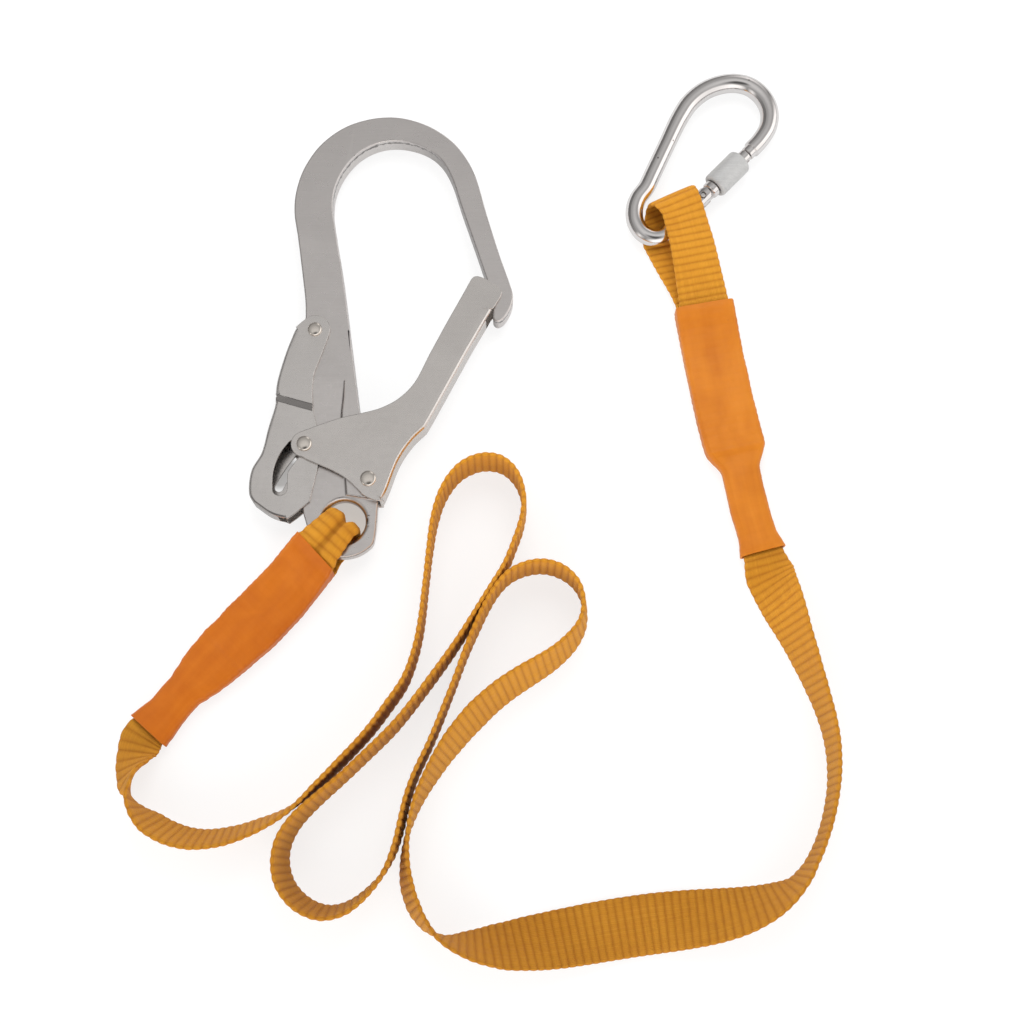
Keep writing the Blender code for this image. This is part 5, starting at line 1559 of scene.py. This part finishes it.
def build_tube(node, splice, span, look, seed, slant=0.0, slim=((0, 0.0),)):
    """A shrink tube over a splice, open at both ends.

    slant skews its first end; slim rows are how much narrower each side is, by distance.
    """
    places = np.arange(span[0], span[1] + 0.01, 0.8)
    outer, inner = tube_rings(splice, span, places, seed, slant, slim)
    count, rings = len(outer[0]), len(outer)
    verts = [point for ring in outer + inner for point in ring]
    faces, coords = [], []
    for i in range(rings - 1):
        u0, u1 = places[i] / RIB, places[i + 1] / RIB
        here, there = i * count, (i + 1) * count
        shift = rings * count  # from an outer ring to its inner one
        for k in range(count):
            j = (k + 1) % count
            v0, v1 = k / count, (k + 1) / count
            faces.append([here + k, here + j, there + j, there + k])
            coords += [(u0, v0), (u0, v1), (u1, v1), (u1, v0)]
            faces.append([shift + here + k, shift + there + k, shift + there + j, shift + here + j])
            coords += [(u0, v0), (u1, v0), (u1, v1), (u0, v1)]
    # the two rims
    for k in range(count):
        j = (k + 1) % count
        faces.append([k, rings * count + k, rings * count + j, j])
        last, last_inner = (rings - 1) * count, (2 * rings - 1) * count
        faces.append([last + k, last + j, last_inner + j, last_inner + k])
        v0, v1 = k / count, (k + 1) / count
        coords += [(0, v0), (0, v0), (0, v1), (0, v1)] * 2
    mesh = new_mesh(node + "_tube", verts, faces)
    layer = mesh.uv_layers.new(name="tube")
    layer.data.foreach_set("uv", np.array(coords, np.float32).ravel())
    face_outward(mesh)
    piece = add(node + "_tube", mesh)
    mesh.shade_smooth()
    add_bevel(piece, "rim", 0.22, segments=3, degrees=55)
    place(piece, look, "strap", node)


# ================================================================ stage, light and camera
def build_floor():
    """White paper that glows, with two painted shadows under the hook."""
    half, z = 6.0, -0.0002  # metres
    mesh = bpy.data.meshes.new("floor")
    corners = [(-half, -half, z), (half, -half, z), (half, half, z), (-half, half, z)]
    mesh.from_pydata(corners, [], [(0, 1, 2, 3)])
    floor = add("floor", mesh)
    graph = Material("floor_paper")
    coords = graph.coords()
    soft = graph.noise(coords, scale=0.02, detail=2.0)
    tone = graph.mix(soft, (0.90, 0.90, 0.90), (0.92, 0.92, 0.92))
    # painted shadows under the eye and under the lever's window: x, y, radii of the fade, colour
    for x, y, fade, shade in (
        (EYE[0] - 0.9, EYE[1] + 2.1, (11.0, 16.0), (0.60, 0.565, 0.53)),
        (-104.4, 18.5, (6.0, 9.5), (0.44, 0.43, 0.42)),
    ):
        off = graph.distance(coords, (x - MIDDLE_X, y - MIDDLE_Y, 0.0))
        tone = graph.mix(off.remap(fade, (1.0, 0.0)), tone, shade)
    glossy = graph.put("ShaderNodeLightPath", "Is Glossy Ray")
    paint(floor, graph.finish(
        Base_Color=graph.mix(1.0, tone, (0.28, 0.28, 0.28), "MULTIPLY"),
        Roughness=0.9,
        Emission_Color=tone,
        Emission_Strength=glossy.remap((0.0, 1.0), (0.84, 0.50)),
        Specular_IOR_Level=0.05,
    ))


def build_world():
    """One sky that lights the scene and another that is seen in reflections."""
    world = bpy.data.worlds.new("studio")
    bpy.context.scene.world = world
    world.use_nodes = True
    world.node_tree.nodes.clear()
    graph = Graph(world.node_tree)
    generated = graph.put("ShaderNodeTexCoord", "Generated")
    x, y, z = graph.xyz(generated)

    def warm_ramp(value, stops):
        """A ramp of faintly warm greys; stops are (position, brightness)."""
        return graph.ramp(value, [(at, (grey, grey * 0.985, grey * 0.975)) for at, grey in stops])

    def background(colour):
        inputs = {"Color": colour, "Strength": 1.0}
        return graph.put("ShaderNodeBackground", inputs=inputs)

    # for everything but reflections: stronger low round the sides than overhead
    plain = warm_ramp(z, ((0.0, 2.3), (0.25, 1.75), (0.60, 0.62), (1.0, 0.34)))
    # in reflections: what the level faces show
    above = warm_ramp(z, (
        (0.0, 0.60), (0.60, 0.40), (0.72, 0.33), (0.80, 0.38), (0.87, 0.45), (0.93, 0.56),
        (0.965, 0.62), (1.0, 0.64),
    ))
    # round the sides, from left and back at 0 to right and front at 1
    turn = x * 0.80 + y * -0.60
    flat = graph.math("SQRT", (1.0 - z * z).at_least(0.0001))
    facing = turn / flat * 0.5 + 0.5
    around = warm_ramp(facing, (
        (0.0, 0.16), (0.22, 0.28), (0.34, 0.95), (0.42, 0.60), (0.52, 0.24), (0.60, 0.55),
        (0.74, 1.15), (0.90, 1.25), (1.0, 0.95),
    ))
    low = warm_ramp(z, ((0.0, 0.0), (0.05, 0.10), (0.14, 1.0), (1.0, 1.0)))
    lift = (facing - 0.5).at_least(0.0) * -0.36
    rise = (z + lift).remap((0.50, 0.68), (0.0, 1.0), interpolation_type="SMOOTHSTEP")
    sides = graph.mix(0.85, around, low, "MULTIPLY")
    whole = graph.mix(rise, sides, above)
    # a dark spot nearly overhead, a little to the front
    dark = graph.distance(generated, (0.02, -0.30, 0.954)).remap((0.16, 0.36), (0.16, 1.0))
    reflected = graph.mix(1.0, whole, dark, "MULTIPLY")
    glossy = graph.put("ShaderNodeLightPath", "Is Glossy Ray")
    shaders = {0: glossy, 1: background(plain), 2: background(reflected)}
    graph.node("ShaderNodeOutputWorld", {0: graph.put("ShaderNodeMixShader", inputs=shaders)})


def aim(piece, target):
    piece.rotation_euler = (target - piece.location).to_track_quat("-Z", "Y").to_euler()


def build_lights():
    # place and size in metres, power in watts
    for name, at, size, power in (
        ("key", (0.06, 0.36, 0.58), 0.45, 2.5),
        ("front", (0.0, -0.75, 0.32), 0.5, 3.0),
        ("fill", (-0.8, 0.1, 0.7), 0.8, 1.4),
    ):
        light = bpy.data.lights.new(name, "AREA")
        light.shape = "SQUARE"
        light.size = size
        light.energy = power
        lamp = add(name, light)
        lamp.location = at
        aim(lamp, Vector((0, 0, 0)))
        lamp.visible_camera = False
        lamp.visible_glossy = False


def build_camera():
    """In front of the lanyard and above it, aimed at the layout's own origin."""
    data = bpy.data.cameras.new("camera")
    data.sensor_width = 36.0
    data.lens = 54.7
    camera = add("camera", data)
    target = Vector(metres((0, 0, 0)))
    camera.location = (target.x, -0.1900, 0.6761)
    aim(camera, target)
    bpy.context.scene.camera = camera
    bpy.context.scene.view_settings.view_transform = "Standard"


# ================================================================ build
build_hook()
build_gate()
build_lever()
for rivet in (
    ("gate_pivot_rivet", "hook", GATE_PIVOT, RIVET_R, GATE_OUT + RIVET_GAP, 3.5),
    ("lever_pivot_rivet", "hook", LEVER_PIVOT, RIVET_R, LEVER_UP_OUT + RIVET_GAP, 3.2),
    ("cam_pin_rivet", "gate", CAM_PIN, CAM_R, GATE_OUT + RIVET_GAP, 3.4),
):
    build_rivet(*rivet)
build_carabiner_body()
build_carabiner_gate()
build_screw_sleeve()
build_pin("carabiner_hinge_pin", 0.0, half=4.0, radius=HINGE_PIN_R, body="carabiner")
build_pin(
    "carabiner_latch_pin", LATCH_S, half=3.1, radius=LATCH_PIN_R, body="carabiner_gate_arm"
)
build_strap()
build_tube(
    "hook_end_sleeve", HOOK_SPLICE, (18.6, 123.5), HOOK_TUBE, seed=1.7, slant=0.14,
    slim=((14, 1.9), (22, 1.5), (40, 0.5), (60, 0.0)),
)
build_tube("carabiner_end_sleeve", CAR_SPLICE, (57.0, 176.0), CAR_TUBE, seed=9.3)
for node in ("gate_spring", "lever_spring", "plunger_spring"):
    paint(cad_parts[node], SPRING)
paint(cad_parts["gate_plunger"], PIN)
for end in ("hook", "carabiner"):
    for i in (1, 2, 3):
        paint(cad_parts[f"{end}_bartack_{i}"], THREAD)
build_floor()
build_world()
build_lights()
build_camera()
